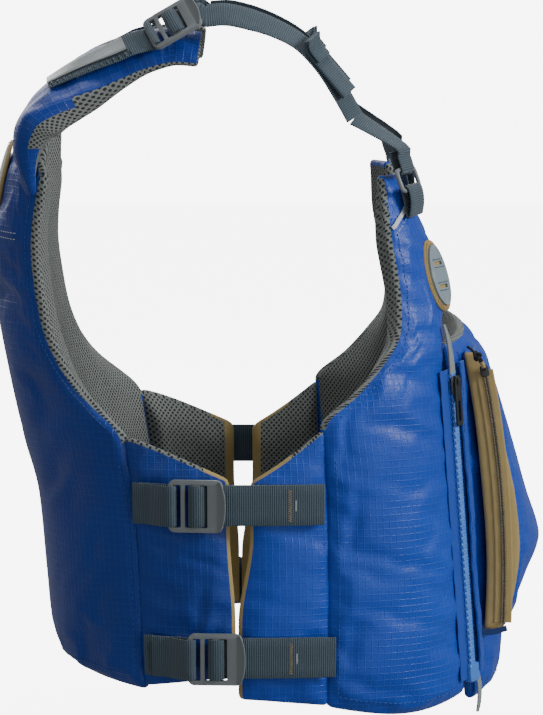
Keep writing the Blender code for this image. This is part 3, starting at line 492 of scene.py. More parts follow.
def pillow(name, columns, rows, surface, flatten, thick, rims, looks, notch, sink, proud, lining):
    """A padded panel as one envelope: outer fabric, rounded rim and inner lining.

    surface(u, v, depth) is a point, flatten(u, v) its place on the flat cloth in metres, thick(u, v) the
    thickness, rims(u, v) an edge's look and roundness, and lining(u, v) the look inside.
    """
    bm = bmesh.new()
    layer = bm.loops.layers.uv.new("UVMap")
    cells = [(i, j) for i in range(columns) for j in range(rows)]
    if notch:
        across, up = notch
        cells = [(i, j) for i, j in cells if (i + 0.5) / columns >= across or (j + 0.5) / rows <= up]
    corners = sorted({(i + a, j + b) for i, j in cells for a in (0, 1) for b in (0, 1)})
    tall = (surface(0.5, 0.0, 0) - surface(0.5, 1.0, 0)).length
    outer, inner, flat, thickness = {}, {}, {}, {}
    for i, j in corners:
        u, v = i / columns, j / rows
        wide = (surface(min(1, u + 0.03), v, 0) - surface(max(0, u - 0.03), v, 0)).length
        wide /= min(1, u + 0.03) - max(0, u - 0.03)
        away = min(min(u, 1 - u) * wide, min(v, 1 - v) * tall)
        if notch:
            away = min(away, max((u - notch[0]) * wide, (notch[1] - v) * tall))
        rise = 1 - math.exp(-away / SEAM_SLOPE)
        depth = sink * (1 - rise) - proud * rise + pucker(flatten(u, v), away) * rise
        outer[i, j] = bm.verts.new(surface(u, v, depth))
        inner[i, j] = bm.verts.new(surface(u, v, thick(u, v)))
        flat[i, j] = flatten(u, v)
        thickness[i, j] = thick(u, v) - depth
    kept = set(cells)
    border = {}
    for i, j in cells:
        ring = [(i, j), (i + 1, j), (i + 1, j + 1), (i, j + 1)]
        inside = lining((i + 0.5) / columns, (j + 0.5) / rows) if lining else 1
        for verts, look, order in ((outer, 0, ring), (inner, inside, ring[::-1])):
            face = bm.faces.new([verts[c] for c in order])
            face.material_index = look
            for loop, c in zip(face.loops, order):
                loop[layer].uv = flat[c]
        for k, (di, dj) in enumerate(((0, -1), (1, 0), (0, 1), (-1, 0))):
            if (i + di, j + dj) not in kept:
                border[ring[k], ring[(k + 1) % 4]] = (i, j)
    ways = {}
    for (a, b), (i, j) in border.items():
        middle = outer[i, j].co.lerp(outer[i + 1, j + 1].co, 0.5)
        for c in (a, b):
            ways[c] = ways.get(c, Vector()) + (outer[c].co - middle)
    strips = {}
    for c, way in ways.items():
        normal = (outer[c].co - inner[c].co).normalized()
        way = (way - normal * way.dot(normal)).normalized()
        roundness = rims(c[0] / columns, c[1] / rows)[1]
        swell = min(MOST_SWELL, thickness[c] * 0.5) * roundness
        column = [outer[c]]
        for k in range(1, RIM_STEPS):
            t = k / RIM_STEPS
            point = outer[c].co.lerp(inner[c].co, t) + way * swell * math.sin(math.pi * t) ** 0.7
            column.append(bm.verts.new(point))
        strips[c] = column + [inner[c]]
    for a, b in border:
        look, _ = rims((a[0] + b[0]) / 2 / columns, (a[1] + b[1]) / 2 / rows)
        for k in range(RIM_STEPS):
            face = bm.faces.new([strips[a][k], strips[a][k + 1], strips[b][k + 1], strips[b][k]])
            face.material_index = look if isinstance(look, int) else look[k > 1]
            for loop, (c, t) in zip(face.loops, ((a, k), (a, k + 1), (b, k + 1), (b, k))):
                s, h = flat[c]
                run = thickness[c] * t / RIM_STEPS
                loop[layer].uv = (s + run, h) if a[0] == b[0] else (s, h + run)
    bmesh.ops.recalc_face_normals(bm, faces=bm.faces)
    bm.verts.index_update()
    loose = [outer[c].index for c in corners if c not in ways]
    return from_bmesh(name, bm, looks), loose


CLOTH_FRAMES, MOST_INWARD, MOST_ASIDE = 20, 0.0012, 0.0025


def inflate(obj, loose, cap, slack, pressure=4.0):
    """Cloth: the outer fabric, held along its seams and a little too large, fills and puckers."""
    scene = bpy.context.scene
    held = obj.vertex_groups.new(name="held")
    free = set(loose)
    held.add([v.index for v in obj.data.vertices if v.index not in free], 1.0, "REPLACE")
    before = [v.co.copy() for v in obj.data.vertices]
    normals = [v.normal.copy() for v in obj.data.vertices]
    cloth = obj.modifiers.new("Cloth", "CLOTH")
    settings = cloth.settings
    settings.quality = 5
    settings.mass = 0.25
    settings.tension_stiffness = 18
    settings.compression_stiffness = 12
    settings.shear_stiffness = 6
    settings.bending_stiffness = 0.04
    settings.use_pressure = True
    settings.uniform_pressure_force = pressure
    settings.vertex_group_mass = "held"
    settings.shrink_min = -slack
    settings.effector_weights.gravity = 0
    cloth.collision_settings.use_collision = False
    cloth.collision_settings.use_self_collision = False
    cloth.point_cache.frame_start = 1
    cloth.point_cache.frame_end = CLOTH_FRAMES
    for step in range(1, CLOTH_FRAMES + 1):
        scene.frame_set(step)
    graph = bpy.context.evaluated_depsgraph_get()
    after = [v.co.copy() for v in obj.evaluated_get(graph).data.vertices]
    obj.modifiers.remove(cloth)
    obj.vertex_groups.remove(held)
    for index in loose:
        move = after[index] - before[index]
        out = move.dot(normals[index])
        aside = move - normals[index] * out
        if aside.length > MOST_ASIDE:
            aside = aside.normalized() * MOST_ASIDE
        out = cap * math.tanh(out / cap) if out > 0 else max(out, -MOST_INWARD)
        obj.data.vertices[index].co = before[index] + normals[index] * out + aside
    scene.frame_set(1)
    return obj


def through(a, b, c, d, t):
    """The smooth curve through four stations, at t between the middle two."""
    bend_in, bend_out = 2 * a - 5 * b + 4 * c - d, 3 * b - a - 3 * c + d
    return 0.5 * ((2 * b) + (c - a) * t + bend_in * t**2 + bend_out * t**3)


def resample(points, widths, step):
    """A smooth path through the points, with the width vector at each new point."""
    out_points, out_widths = [], []
    last = len(points) - 1
    for i in range(last):
        p0, p1, p2, p3 = points[max(i - 1, 0)], points[i], points[i + 1], points[min(i + 2, last)]
        count = max(1, round((p2 - p1).length / step))
        for k in range(count):
            t = k / count
            out_points.append(through(p0, p1, p2, p3, t))
            out_widths.append(widths[i].lerp(widths[i + 1], t))
    return out_points + [points[-1]], out_widths + [widths[-1]]


HALF_SECTION = [
    (-0.5, -0.2), (-0.475, -0.5), (-0.25, -0.5), (0.0, -0.5), (0.25, -0.5), (0.475, -0.5), (0.5, -0.2),
]
STRIP_SECTION = HALF_SECTION + [(-a, -b) for a, b in HALF_SECTION]


def strip(name, points, widths, thickness, look, step=0.003, ruffle=0.0):
    """Webbing, tape or binding: a soft-edged strip along a path, with the weave's own UV map."""
    path, across = resample([Vector(p) for p in points], [Vector(w) for w in widths], step)
    bm = bmesh.new()
    layer = bm.loops.layers.uv.new("UVMap")
    rows, run, distances = [], 0.0, []
    last = len(path) - 1
    for i, (point, width) in enumerate(zip(path, across)):
        if i:
            run += (point - path[i - 1]).length
        distances.append(run)
        tangent = (path[min(i + 1, last)] - path[max(i - 1, 0)]).normalized()
        width = width - tangent * width.dot(tangent)
        normal = width.cross(tangent).normalized()
        lift = ruffle * math.sin(run * 310.0) * math.sin(run * 83.0 + 1.0)
        offsets = [width * a + normal * (b * thickness + lift) for a, b in STRIP_SECTION]
        rows.append([bm.verts.new(point + offset) for offset in offsets])
    count = len(STRIP_SECTION)
    for i in range(last):
        for k in range(count):
            j = (k + 1) % count
            face = bm.faces.new((rows[i][k], rows[i][j], rows[i + 1][j], rows[i + 1][k]))
            uvs = ((i, k), (i, k + 1), (i + 1, k + 1), (i + 1, k))
            size = across[i].length
            for loop, (row, c) in zip(face.loops, uvs):
                a = STRIP_SECTION[c % count][0]
                loop[layer].uv = (distances[row], a * size)
    for row in (rows[0], rows[-1]):
        face = bm.faces.new(row)
        for loop in face.loops:
            loop[layer].uv = (0.0, loop.vert.co.z)
    bmesh.ops.recalc_face_normals(bm, faces=bm.faces)
    obj = from_bmesh(name, bm, [look])
    obj.data.set_sharp_from_angle(angle=math.radians(60))
    return obj


def tube(name, paths, radius, look, sides=6, closed=False):
    """Round cords or wires along paths of points, in one mesh."""
    bm = bmesh.new()
    layer = bm.loops.layers.uv.new("UVMap")
    for path in paths:
        add_tube(bm, layer, [Vector(p) for p in path], radius, sides, closed)
    bmesh.ops.recalc_face_normals(bm, faces=bm.faces)
    return from_bmesh(name, bm, [look])


def add_tube(bm, layer, path, radius, sides, closed=False):
    count = len(path)
    radii = radius if isinstance(radius, (list, tuple)) else [radius] * count
    rings, side, run = [], None, 0.0
    for i, point in enumerate(path):
        ahead = path[(i + 1) % count] if closed or i + 1 < count else point
        behind = path[i - 1] if closed or i else point
        tangent = (ahead - behind).normalized()
        if side is None:
            side = tangent.orthogonal().normalized()
        side = (side - tangent * side.dot(tangent)).normalized()
        other = tangent.cross(side)
        ring = []
        for k in range(sides):
            turn = 2 * math.pi * k / sides
            ring.append(bm.verts.new(point + (side * math.cos(turn) + other * math.sin(turn)) * radii[i]))
        rings.append((ring, run))
        run += (ahead - point).length
    pairs = list(zip(rings, rings[1:])) + ([(rings[-1], rings[0])] if closed else [])
    for (low, start), (high, end) in pairs:
        for k in range(sides):
            j = (k + 1) % sides
            face = bm.faces.new((low[k], low[j], high[j], high[k]))
            for loop, uv in zip(face.loops, ((start, k), (start, k + 1), (end, k + 1), (end, k))):
                loop[layer].uv = (uv[0], uv[1] * radii[0])
    if not closed:
        bm.faces.new(rings[0][0][::-1])
        bm.faces.new(rings[-1][0])


def stitches(name, path, look, length=0.0029, gap=0.0013, radius=0.00030):
    """A row of separate thread stitches along a path of (point, normal) pairs."""
    bm = bmesh.new()
    layer = bm.loops.layers.uv.new("UVMap")
    points = [p for p, _ in path]
    normals = [n for _, n in path]
    totals = [0.0]
    for a, b in zip(points, points[1:]):
        totals.append(totals[-1] + (b - a).length)

    def along(distance):
        i = 0
        while i < len(totals) - 2 and totals[i + 1] < distance:
            i += 1
        t = (distance - totals[i]) / max(1e-9, totals[i + 1] - totals[i])
        return points[i].lerp(points[i + 1], t), normals[i].lerp(normals[i + 1], t).normalized()

    at_run = gap
    while at_run + length < totals[-1]:
        middle = []
        for k in range(4):
            point, normal = along(at_run + length * k / 3)
            lift = radius * (0.5 if k in (0, 3) else 1.2)
            middle.append(point + normal * lift)
        add_tube(bm, layer, middle, [radius * 0.55, radius, radius, radius * 0.55], 5)
        at_run += length + gap
    bmesh.ops.recalc_face_normals(bm, faces=bm.faces)
    return from_bmesh(name, bm, [look])


def rounded_outline(half_length, half_width, radius, centre=0.0, steps=6):
    """A rectangle with round corners, its middle at this distance along x."""
    points = []
    for side_x, side_y, start in ((1, 1, 0), (-1, 1, 90), (-1, -1, 180), (1, -1, 270)):
        for k in range(steps + 1):
            turn = math.radians(start + 90 * k / steps)
            x = centre + side_x * (half_length - radius) + radius * math.cos(turn)
            points.append((x, side_y * (half_width - radius) + radius * math.sin(turn)))
    return points


def plate(name, outlines, thickness, look, place, round_edge):
    """A moulded plate from flat outlines, the first its outside and the others holes, edges rounded."""
    curve = bpy.data.curves.new(name + "_outline", "CURVE")
    curve.dimensions = "2D"
    curve.fill_mode = "BOTH"
    curve.extrude = thickness / 2
    for outline in outlines:
        spline = curve.splines.new("POLY")
        spline.points.add(len(outline) - 1)
        for point, (x, y) in zip(spline.points, outline):
            point.co = (x, y, 0.0, 1.0)
        spline.use_cyclic_u = True
    guide = bpy.data.objects.new(name + "_guide", curve)
    bpy.context.scene.collection.objects.link(guide)
    mesh = bpy.data.meshes.new_from_object(guide.evaluated_get(bpy.context.evaluated_depsgraph_get()))
    bpy.data.objects.remove(guide)
    bm = bmesh.new()
    bm.from_mesh(mesh)
    bmesh.ops.remove_doubles(bm, verts=bm.verts, dist=0.00001)
    bmesh.ops.dissolve_limit(bm, angle_limit=0.01, verts=bm.verts, edges=bm.edges)
    bmesh.ops.recalc_face_normals(bm, faces=bm.faces)
    rim = [e for e in bm.edges if len(e.link_faces) == 2 and e.calc_face_angle(0) > 1.0]
    bevel = {"segments": 3, "profile": 0.5, "affect": "EDGES", "clamp_overlap": True}
    bmesh.ops.bevel(bm, geom=rim, offset=round_edge, **bevel)
    bm.transform(place)
    obj = from_bmesh(name, bm, [look])
    obj.data.set_sharp_from_angle(angle=math.radians(40))
    return obj


# ================================================================ camera, light and floor
CAMERA_TARGET = Vector((0.0, -0.0258, 0.269))
CAMERA_AZIMUTH, CAMERA_ELEVATION, CAMERA_DISTANCE = math.radians(-90), math.radians(6.5), 3.0
SENSOR, FRAME_HEIGHT = 24.0, 715 * 0.00082
FLOOR_LEVEL = -0.035
LIT_POINT = Vector((0, 0, 0.28))
LIGHTS = (
    ("key", (-1.15, -2.7, 1.6), 0.9, 78.0),
    ("fill", (-2.4, 1.9, 1.5), 1.6, 8.0),
    ("top", (0.2, 0.3, 2.8), 1.2, 28.0),
    ("back", (2.0, 0.8, 1.4), 1.6, 24.0),
    ("low", (-1.4, -0.7, 0.15), 1.2, 4.0),
)
WORLD_STRENGTH, FLOOR_GLOW, BACKDROP_GLOW = 0.26, 6.5, 7.0


def studio():
    flat = math.cos(CAMERA_ELEVATION)
    away = Vector((
        math.sin(CAMERA_AZIMUTH) * flat, -math.cos(CAMERA_AZIMUTH) * flat, math.sin(CAMERA_ELEVATION),
    ))
    data = bpy.data.cameras.new("camera")
    data.sensor_fit = "VERTICAL"
    data.sensor_height = SENSOR
    data.lens = SENSOR * CAMERA_DISTANCE / FRAME_HEIGHT
    camera = bpy.data.objects.new("camera", data)
    camera.location = CAMERA_TARGET + away * CAMERA_DISTANCE
    camera.rotation_euler = away.to_track_quat("Z", "Y").to_euler()
    bpy.context.scene.collection.objects.link(camera)
    bpy.context.scene.camera = camera

    for name, place, size, power in LIGHTS:
        light = bpy.data.lights.new(name, "AREA")
        light.size = size
        light.energy = power
        lamp = bpy.data.objects.new(name, light)
        lamp.location = place
        lamp.rotation_euler = (Vector(place) - LIT_POINT).to_track_quat("Z", "Y").to_euler()
        bpy.context.scene.collection.objects.link(lamp)

    world = bpy.data.worlds.new("studio")
    bpy.context.scene.world = world
    world.use_nodes = True
    background = world.node_tree.nodes["Background"]
    background.inputs["Color"].default_value = (1.0, 1.0, 1.0, 1)
    background.inputs["Strength"].default_value = WORLD_STRENGTH

    bm = bmesh.new()
    bmesh.ops.create_grid(bm, x_segments=8, y_segments=8, size=6.0)
    floor = surround("floor", bm, floor_material())
    floor.location.z = FLOOR_LEVEL
    bm = bmesh.new()
    bmesh.ops.create_icosphere(bm, subdivisions=4, radius=9.0)
    bmesh.ops.reverse_faces(bm, faces=bm.faces)
    backdrop = surround("backdrop", bm, backdrop_material())


def surround(name, bm, material):
    """A white surface that the camera sees and that lights nothing."""
    mesh = bpy.data.meshes.new(name)
    bm.to_mesh(mesh)
    bm.free()
    mesh.materials.append(material)
    obj = bpy.data.objects.new(name, mesh)
    bpy.context.scene.collection.objects.link(obj)
    for ray in ("visible_diffuse", "visible_glossy", "visible_transmission", "visible_shadow"):
        setattr(obj, ray, False)
    return obj


# ================================================================ padded panels
def torso_panel(
    name, columns, rows, place, foam, rims, looks, notch=None, sink=0.0045, proud=0.0, lining=None,
):
    """A padded panel laid on the torso, place(u, v) its angle and height."""
    def surface(u, v, depth):
        return under(*place(u, v), depth)

    def flat(u, v):
        angle, height = place(u, v)
        return arc(angle), height

    def thick(u, v):
        return 0.0030 + foam * rim_fade(share_edge(u, v, notch))

    return pillow(name, columns, rows, surface, flat, thick, rims, looks, notch, sink, proud, lining)


def back_place(u, v):
    side = abs(2 * u - 1)
    low = 0.024 + 0.008 * math.sin(math.pi * u)
    top = 0.444 + 0.016 * smooth((side - 0.25) / 0.35) - 0.034 * smooth((side - 0.74) / 0.26)
    height = low + (top - low) * v
    edge = at(BACK_EDGE, height) + 0.25 - 2.0 * smooth((height - 0.400) / 0.045)
    return (2 * u - 1) * edge, height


def back_side_place(u, v):
    low = 0.026 + 0.010 * u
    top = 0.222 - 0.030 * u**1.4
    height = low + (top - low) * v
    edge = SIDE_GAP[0] - 0.3 + 1.0 * smooth((0.150 - height) / 0.07)
    return 61.9 + (edge - 61.9) * u, height


def front_side_place(u, v):
    low = 0.018 - 0.006 * u
    top = 0.190 + 0.040 * u
    height = low + (top - low) * v
    edge = SIDE_GAP[1] + 0.2 - 1.5 * smooth((0.150 - height) / 0.07)
    return edge + (105.8 - edge) * u, height


def front_right_place(u, v):
    low = 0.012 - 0.010 * math.sin(math.pi * u)
    height = low + (FRONT_TOP - low) * v
    near_zip = at(ZIP_ANGLE, height) - 2.3
    inner = near_zip if height < 0.275 else at(NECK_EDGE, height)
    outer = at(ARMHOLE_EDGE, height) - 0.2
    narrow = smooth((height - YOKE_START) / YOKE_RUN)
    outer += YOKE_NARROWING * narrow
    inner -= 1.0 * narrow
    return outer + (inner - outer) * u, height


LEFT_NOTCH = (9 / 14, 10 / 14)


def front_left_place(u, v):
    yoke, collar = LEFT_NOTCH
    low = 0.004
    dip = COLLAR_DIP - 0.008 + 0.012 * smooth(u / yoke) * 0.9
    if v <= collar + 1e-6:
        height = low + (dip - low) * v / collar
    else:
        height = dip + (FRONT_TOP - dip) * (v - collar) / (1 - collar)
    start = at(ZIP_ANGLE, height) + 2.6
    narrow = smooth((height - YOKE_START) / YOKE_RUN)
    neck = 360 - at(NECK_EDGE, max(height, 0.297)) + 1.0 * narrow
    end = 360.2 - at(ARMHOLE_EDGE, height) - YOKE_NARROWING * narrow
    if u <= yoke + 1e-6:
        return start + (neck - start) * u / yoke, height
    return neck + (end - neck) * (u - yoke) / (1 - yoke), height


LASH_ANGLE, LASH_HEIGHT = 152.0, 0.345
LASH_HALF_LENGTH, LASH_HALF_WIDTH = 0.0238, 0.0150
BADGE_ANGLE, BADGE_HEIGHT, BADGE_HALF_ANGLE, BADGE_HALF_HEIGHT = 8.0, 0.422, 7.0, 0.0265


def away_from(obj, loose, centre, reach):
    """The free vertices outside a sewn-down spot."""
    return [i for i in loose if (obj.data.vertices[i].co - centre).length > reach]


def make_panels():
    def back_rims(u, v):
        if v >= 0.999:
            return 1, 1.0
        if v <= 0.001:
            return 0, 0.6
        return (1, 1.0) if back_place(u, v)[1] > BACK_ARMHOLE_LOW else (0, 0.22)

    # The back pad wears the darker ripstop copy, painted shade.
    back, loose = torso_panel(
        "back_pad", 64, 66, back_place, BACK_FOAM, back_rims, ["nylon_painted_shade", "mesh"], proud=0.0010,
    )
    badge_spot = under(BADGE_ANGLE, BADGE_HEIGHT, 0)
    inflate(back, away_from(back, loose, badge_spot, 0.030), 0.0080, 0.05)
    settle(subdivide(back), "root", "blue_nylon", "back_cover", "back_foam", "back_lining")

    def back_side_rims(u, v):
        if u >= 0.999:
            return 2, 0.9
        if u <= 0.001 or v <= 0.001:
            return 0, 0.3
        return (2, 0.9) if u > 0.8 else (1, 0.9)

    def front_side_rims(u, v):
        if u <= 0.001:
            return 2, 0.9
        if u >= 0.999 or v <= 0.001:
            return 0, 0.3
        return (2, 0.9) if u < 0.5 else (1, 0.9)

    def back_side_lining(u, v):
        return 2 if u > 0.93 else 1

    def front_side_lining(u, v):
        return 2 if u < 0.10 else 1

    # The back side pads wear the darker ripstop copy, painted shade; the front side pads wear the plain one.
    sides = (
        ("back_side", 16, 32, back_side_place, back_side_rims, back_side_lining, "nylon_painted_shade"),
        ("front_side", 12, 34, front_side_place, front_side_rims, front_side_lining, "nylon"),
    )
    for prefix, columns, rows, place, rims, lining, cloth in sides:
        pad, loose = torso_panel(
            prefix + "_pad_right", columns, rows, place, SIDE_FOAM, rims, [cloth, "mesh", "tan"],
            sink=0.0048, proud=-0.0016, lining=lining,
        )
        inflate(pad, loose, 0.0024, 0.05, 3.0)
        subdivide(pad)
        other = twin(pad, prefix + "_pad_left")
        body = "front_right_panel" if prefix == "front_side" else "root"
        for piece, side, rides_on in ((pad, "right", body), (other, "left", "root")):
            nodes = [f"{prefix}_{side}_{layer}" for layer in ("cover", "foam", "lining")]
            settle(piece, rides_on, "blue_nylon", *nodes)

    def front_right_rims(u, v):
        height = front_right_place(u, v)[1]
        if v <= 0.001:
            return 0, 0.6
        if v >= 0.999:
            return 0, 0.8
        if u <= 0.001:
            return (1, 1.0) if height > ARMHOLE_LOW else (0, 0.22)
        return (0, 0.35) if height < ZIP_TOP else (1, 0.9)

    right, loose = torso_panel(
        "front_right_pad", 26, 66, front_right_place, FRONT_FOAM, front_right_rims,
        ["nylon", "mesh"], proud=0.0006,
    )
    lash_spot = under(LASH_ANGLE, LASH_HEIGHT, 0)
    inflate(right, away_from(right, loose, lash_spot, 0.027), 0.0075, 0.05)
    nodes = ["front_right_cover", "front_right_foam", "front_right_lining"]
    settle(subdivide(right), "front_right_panel", "blue_nylon", *nodes)

    def front_left_rims(u, v):
        height = front_left_place(u, v)[1]
        if v <= 0.001:
            return 0, 0.6
        if v >= 0.999:
            return 0, 0.8
        if u >= 0.999:
            return (1, 1.0) if height > ARMHOLE_LOW else (0, 0.22)
        if u <= 0.001:
            return 0, 0.35
        return 1, 0.9

    left, loose = torso_panel(
        "front_left_pad", 42, 70, front_left_place, FRONT_FOAM, front_left_rims,
        ["nylon", "mesh"], LEFT_NOTCH, proud=0.0004,
    )
    inflate(left, loose, 0.0060, 0.05)
    nodes = ["front_left_cover", "front_left_foam", "front_left_lining"]
    settle(subdivide(left), "root", "blue_nylon", *nodes)
    return back, right, left


# ================================================================ shoulders
SHOULDER_X = 0.096
SHOULDER_WEB_WIDTH, SIDE_WEB_WIDTH, WEBBING = 0.025, 0.032, 0.0015
SHOULDER_ROLL = [(-0.09, 34), (-0.05, 30), (0.0, 42), (0.06, 45), (0.11, 38), (0.15, 14), (0.17, 0)]
SHOULDER_SPINE = [
    (0.0270, 0.5500), (0.0100, 0.5510), (-0.0090, 0.5470), (-0.0290, 0.5400), (-0.0485, 0.5290),
    (-0.0660, 0.5110), (-0.0800, 0.4900), (-0.0915, 0.4700),
]
SHOULDER_BUCKLE_CENTRE, BUCKLE_SLOPE = (0.0520, 0.5440), math.radians(30)
PAD_STATIONS = [
    (0.1690, 0.4080, 0.016, 0.009), (0.1755, 0.4300, 0.023, 0.017), (0.1770, 0.4530, 0.028, 0.026),
    (0.1700, 0.4745, 0.030, 0.034), (0.1515, 0.4935, 0.029, 0.033), (0.1240, 0.5085, 0.026, 0.026),
    (0.0960, 0.5200, 0.022, 0.016), (0.0760, 0.5270, 0.020, 0.011), (0.0520, 0.5315, 0.019, 0.008),
    (0.0300, 0.5290, 0.018, 0.007),
]


def side_point(y, z):
    return Vector((-SHOULDER_X, y, z))


def rolled(tangent, y):
    upright = Vector((0, -tangent.z, tangent.y)).normalized()
    if upright.z < 0:
        upright = -upright
    roll = math.radians(at(SHOULDER_ROLL, y))
    c, s = math.cos(roll), math.sin(roll)
    return Vector((c, 0, 0)) + upright * s, upright * c - Vector((s, 0, 0))


def shoulder_frame():
    along = Vector((0, -math.cos(BUCKLE_SLOPE), math.sin(BUCKLE_SLOPE)))
    y, z = SHOULDER_BUCKLE_CENTRE
    return frame_of(side_point(y, z), along, rolled(along, y)[1])


def across_of(place, width):
    vector = place.to_3x3() @ Vector((0, width, 0))
    return vector if vector.x > 0 else -vector


PAD_SLOPE = Vector((0, -0.866, 0.50))


def above_pad(y, z, lift):
    return side_point(y, z) + rolled(PAD_SLOPE, y)[1] * lift


def web_across(points):
    last = len(points) - 1
    tangents = [points[min(i + 1, last)] - points[max(i - 1, 0)] for i in range(last + 1)]
    return [rolled(t, p.y)[0] * SHOULDER_WEB_WIDTH for t, p in zip(tangents, points)]


def pad_spine(v):
    """The lobe's outer line at v from the back to its front end: place, half width and thickness."""
    run = v * (len(PAD_STATIONS) - 1)
    i = min(int(run), len(PAD_STATIONS) - 2)
    t = run - i
    before, low = PAD_STATIONS[max(i - 1, 0)], PAD_STATIONS[i]
    high, after = PAD_STATIONS[i + 1], PAD_STATIONS[min(i + 2, len(PAD_STATIONS) - 1)]
    return [through(a, b, c, d, t) for a, b, c, d in zip(before, low, high, after)]


def make_shoulder_lobes():
    def place(v):
        y, z, half_width, _ = pad_spine(v)
        y2, z2, _, _ = pad_spine(min(1, v + 0.01))
        y1, z1, _, _ = pad_spine(max(0, v - 0.01))
        across, normal = rolled(Vector((0, y2 - y1, z2 - z1)).normalized(), y)
        if v < 0.4 and normal.y < 0:
            normal = -normal
        return side_point(y, z), across, normal, half_width

    def surface(u, v, depth):
        centre, across, normal, half_width = place(v)
        side = 2 * u - 1
        droop = 0.004 * side**2
        return centre + across * side * half_width - normal * (depth + droop)

    def flat(u, v):
        return (2 * u - 1) * 0.025, v * 0.17

    def thick(u, v):
        return max(0.005, pad_spine(v)[3] * (1 - 0.22 * abs(2 * u - 1) ** 2))

    def rims(u, v):
        if v < 0.20:
            return 0, 0.3
        return ((0, 1), 0.4) if v < 0.50 else (1, 0.4)

    # The shoulder lobes wear the darker ripstop copy, painted shade.
    lobe, loose = pillow(
        "shoulder_lobe_right", 12, 36, surface, flat, thick, rims, ["nylon_painted_shade", "mesh"],
        notch=None, sink=0.0020, proud=0.0, lining=None,
    )
    inflate(lobe, loose, 0.0018, 0.04, 3.0)
    subdivide(lobe)
    for piece, side in ((lobe, "right"), (twin(lobe, "shoulder_lobe_left"), "left")):
        settle(piece, "root", "blue_nylon", f"shoulder_pad_{side}")


# ================================================================ webbing and buckles
BUCKLE_HALF_LENGTH, BUCKLE_THICKNESS, BUCKLE_LIFT = 0.0215, 0.0036, 0.0075
FIXED_BAR, BAR_RADIUS = -0.0195, 0.0039
BUCKLE_SLOTS = [(-0.0145, 0.0030), (-0.0050, 0.0032), (0.0062, 0.0032)]
RING_ANGLE, RING_HEIGHT, RING_LIFT = 147.5, 0.4200, 0.0068
RING_HALF_WIDTH, RING_HALF_DROP, RING_WIRE, GAP = 0.0165, 0.0085, 0.0018, 0.0003
WEB_LIFT = 0.0020


def strap_frame(strap):
    centre, height = strap["centre"], strap["height"]
    along = skin(centre + 1, height) - skin(centre - 1, height)
    return frame_of(skin(centre, height), along, outward(centre, height))


def in_frame(place, route):
    """Points given as (distance along, lift) in a strap's own frame."""
    return [place @ Vector((s, 0.0, n)) for s, n in route]


def loop_round_bar(radius):
    turns = [math.radians(a) for a in range(-90, 91, 30)]
    return [(FIXED_BAR + radius * math.cos(t), BUCKLE_LIFT + radius * math.sin(t)) for t in turns]


def ladder_buckle(name, half_web, place):
    """A ladder buckle: rounded frame, bars, and a raised curved lip to tilt it by."""
    half_width = half_web + 0.0045
    outer = rounded_outline(BUCKLE_HALF_LENGTH, half_width, 0.0055, 0.0, 8)
    slots = [rounded_outline(half, half_web + 0.0008, 0.0012, s, 3) for s, half in BUCKLE_SLOTS]
    body = plate(name, [outer] + slots, BUCKLE_THICKNESS, "plastic", place, 0.0011)
    bm = bmesh.new()
    layer = bm.loops.layers.uv.new("UVMap")
    columns, rows = 20, 6
    top, low = [], []
    for i in range(columns + 1):
        b = 2 * i / columns - 1
        reach = 0.0100 * (1 - 0.42 * abs(b) ** 2.4)
        for j in range(rows + 1):
            a = j / rows
            x = BUCKLE_HALF_LENGTH - 0.0075 + reach * a
            z = 0.0014 + 0.0034 * a**1.7 - 0.0012 * b * b * a
            top.append(bm.verts.new((x, b * (half_width - 0.0006), z)))
            low.append(bm.verts.new((x, b * (half_width - 0.0006), z - 0.0022)))
    count = rows + 1
    for i in range(columns):
        for j in range(rows):
            a, b = i * count + j, (i + 1) * count + j
            bm.faces.new((top[a], top[b], top[b + 1], top[a + 1]))
            bm.faces.new((low[a], low[a + 1], low[b + 1], low[b]))
    for j in range(rows):
        for i in (0, columns * count):
            bm.faces.new((top[i + j], top[i + j + 1], low[i + j + 1], low[i + j]))
    for i in range(columns):
        for j in (0, rows):
            a, b = i * count + j, (i + 1) * count + j
            bm.faces.new((top[a], top[b], low[b], low[a]))
    for face in bm.faces:
        for loop in face.loops:
            loop[layer].uv = loop.vert.co.xy
    bmesh.ops.recalc_face_normals(bm, faces=bm.faces)
    bm.transform(place)
    lip = subdivide(from_bmesh(name + "_lip", bm, ["plastic"]), 2)
    return body, lip


def back_web_route(strap, place):
    height, seam, near = strap["height"], strap["back_seam"], strap["centre"] - 11.5
    points = [under(seam + (near - seam) * k / 5, height, -WEB_LIFT) for k in range(6)]
    points += in_frame(place, loop_round_bar(BAR_RADIUS))
    points += in_frame(place, [(FIXED_BAR - 0.0075, 0.0085)])
    points += [under(near - step, height, -WEB_LIFT - 0.0021) for step in (1.5, 3.5, 6.5)]
    return points


def front_web_route(strap, place):
    height, seam, near = strap["height"], strap["front_seam"], strap["centre"] + 9.5
    points = [under(seam + (near - seam) * k / 6, height, -WEB_LIFT) for k in range(7)]
    weave = [(0.0120, 0.0018), (0.0, 0.0022), (-0.0040, 0.0036), (-0.0048, 0.0080), (-0.0032, 0.0104),
             (0.0036, 0.0104), (0.0062, 0.0084), (0.0070, 0.0058), (0.0100, 0.0044), (0.0200, 0.0042)]
    points += in_frame(place, weave)
    points += [under(near + step, height, -WEB_LIFT - 0.0022) for step in (2.5, 5.0, 8.0, 12.0)]
    return points


def zigzag(place, half, pitch, reach):
    """Bar-tack points: a tight zigzag across the strap, in the strap's own frame."""
    points, y, side = [], -half, 1
    while y < half:
        points.append(place @ Vector((side * reach, y, 0.0)))
        y += pitch
        side = -side
    return points


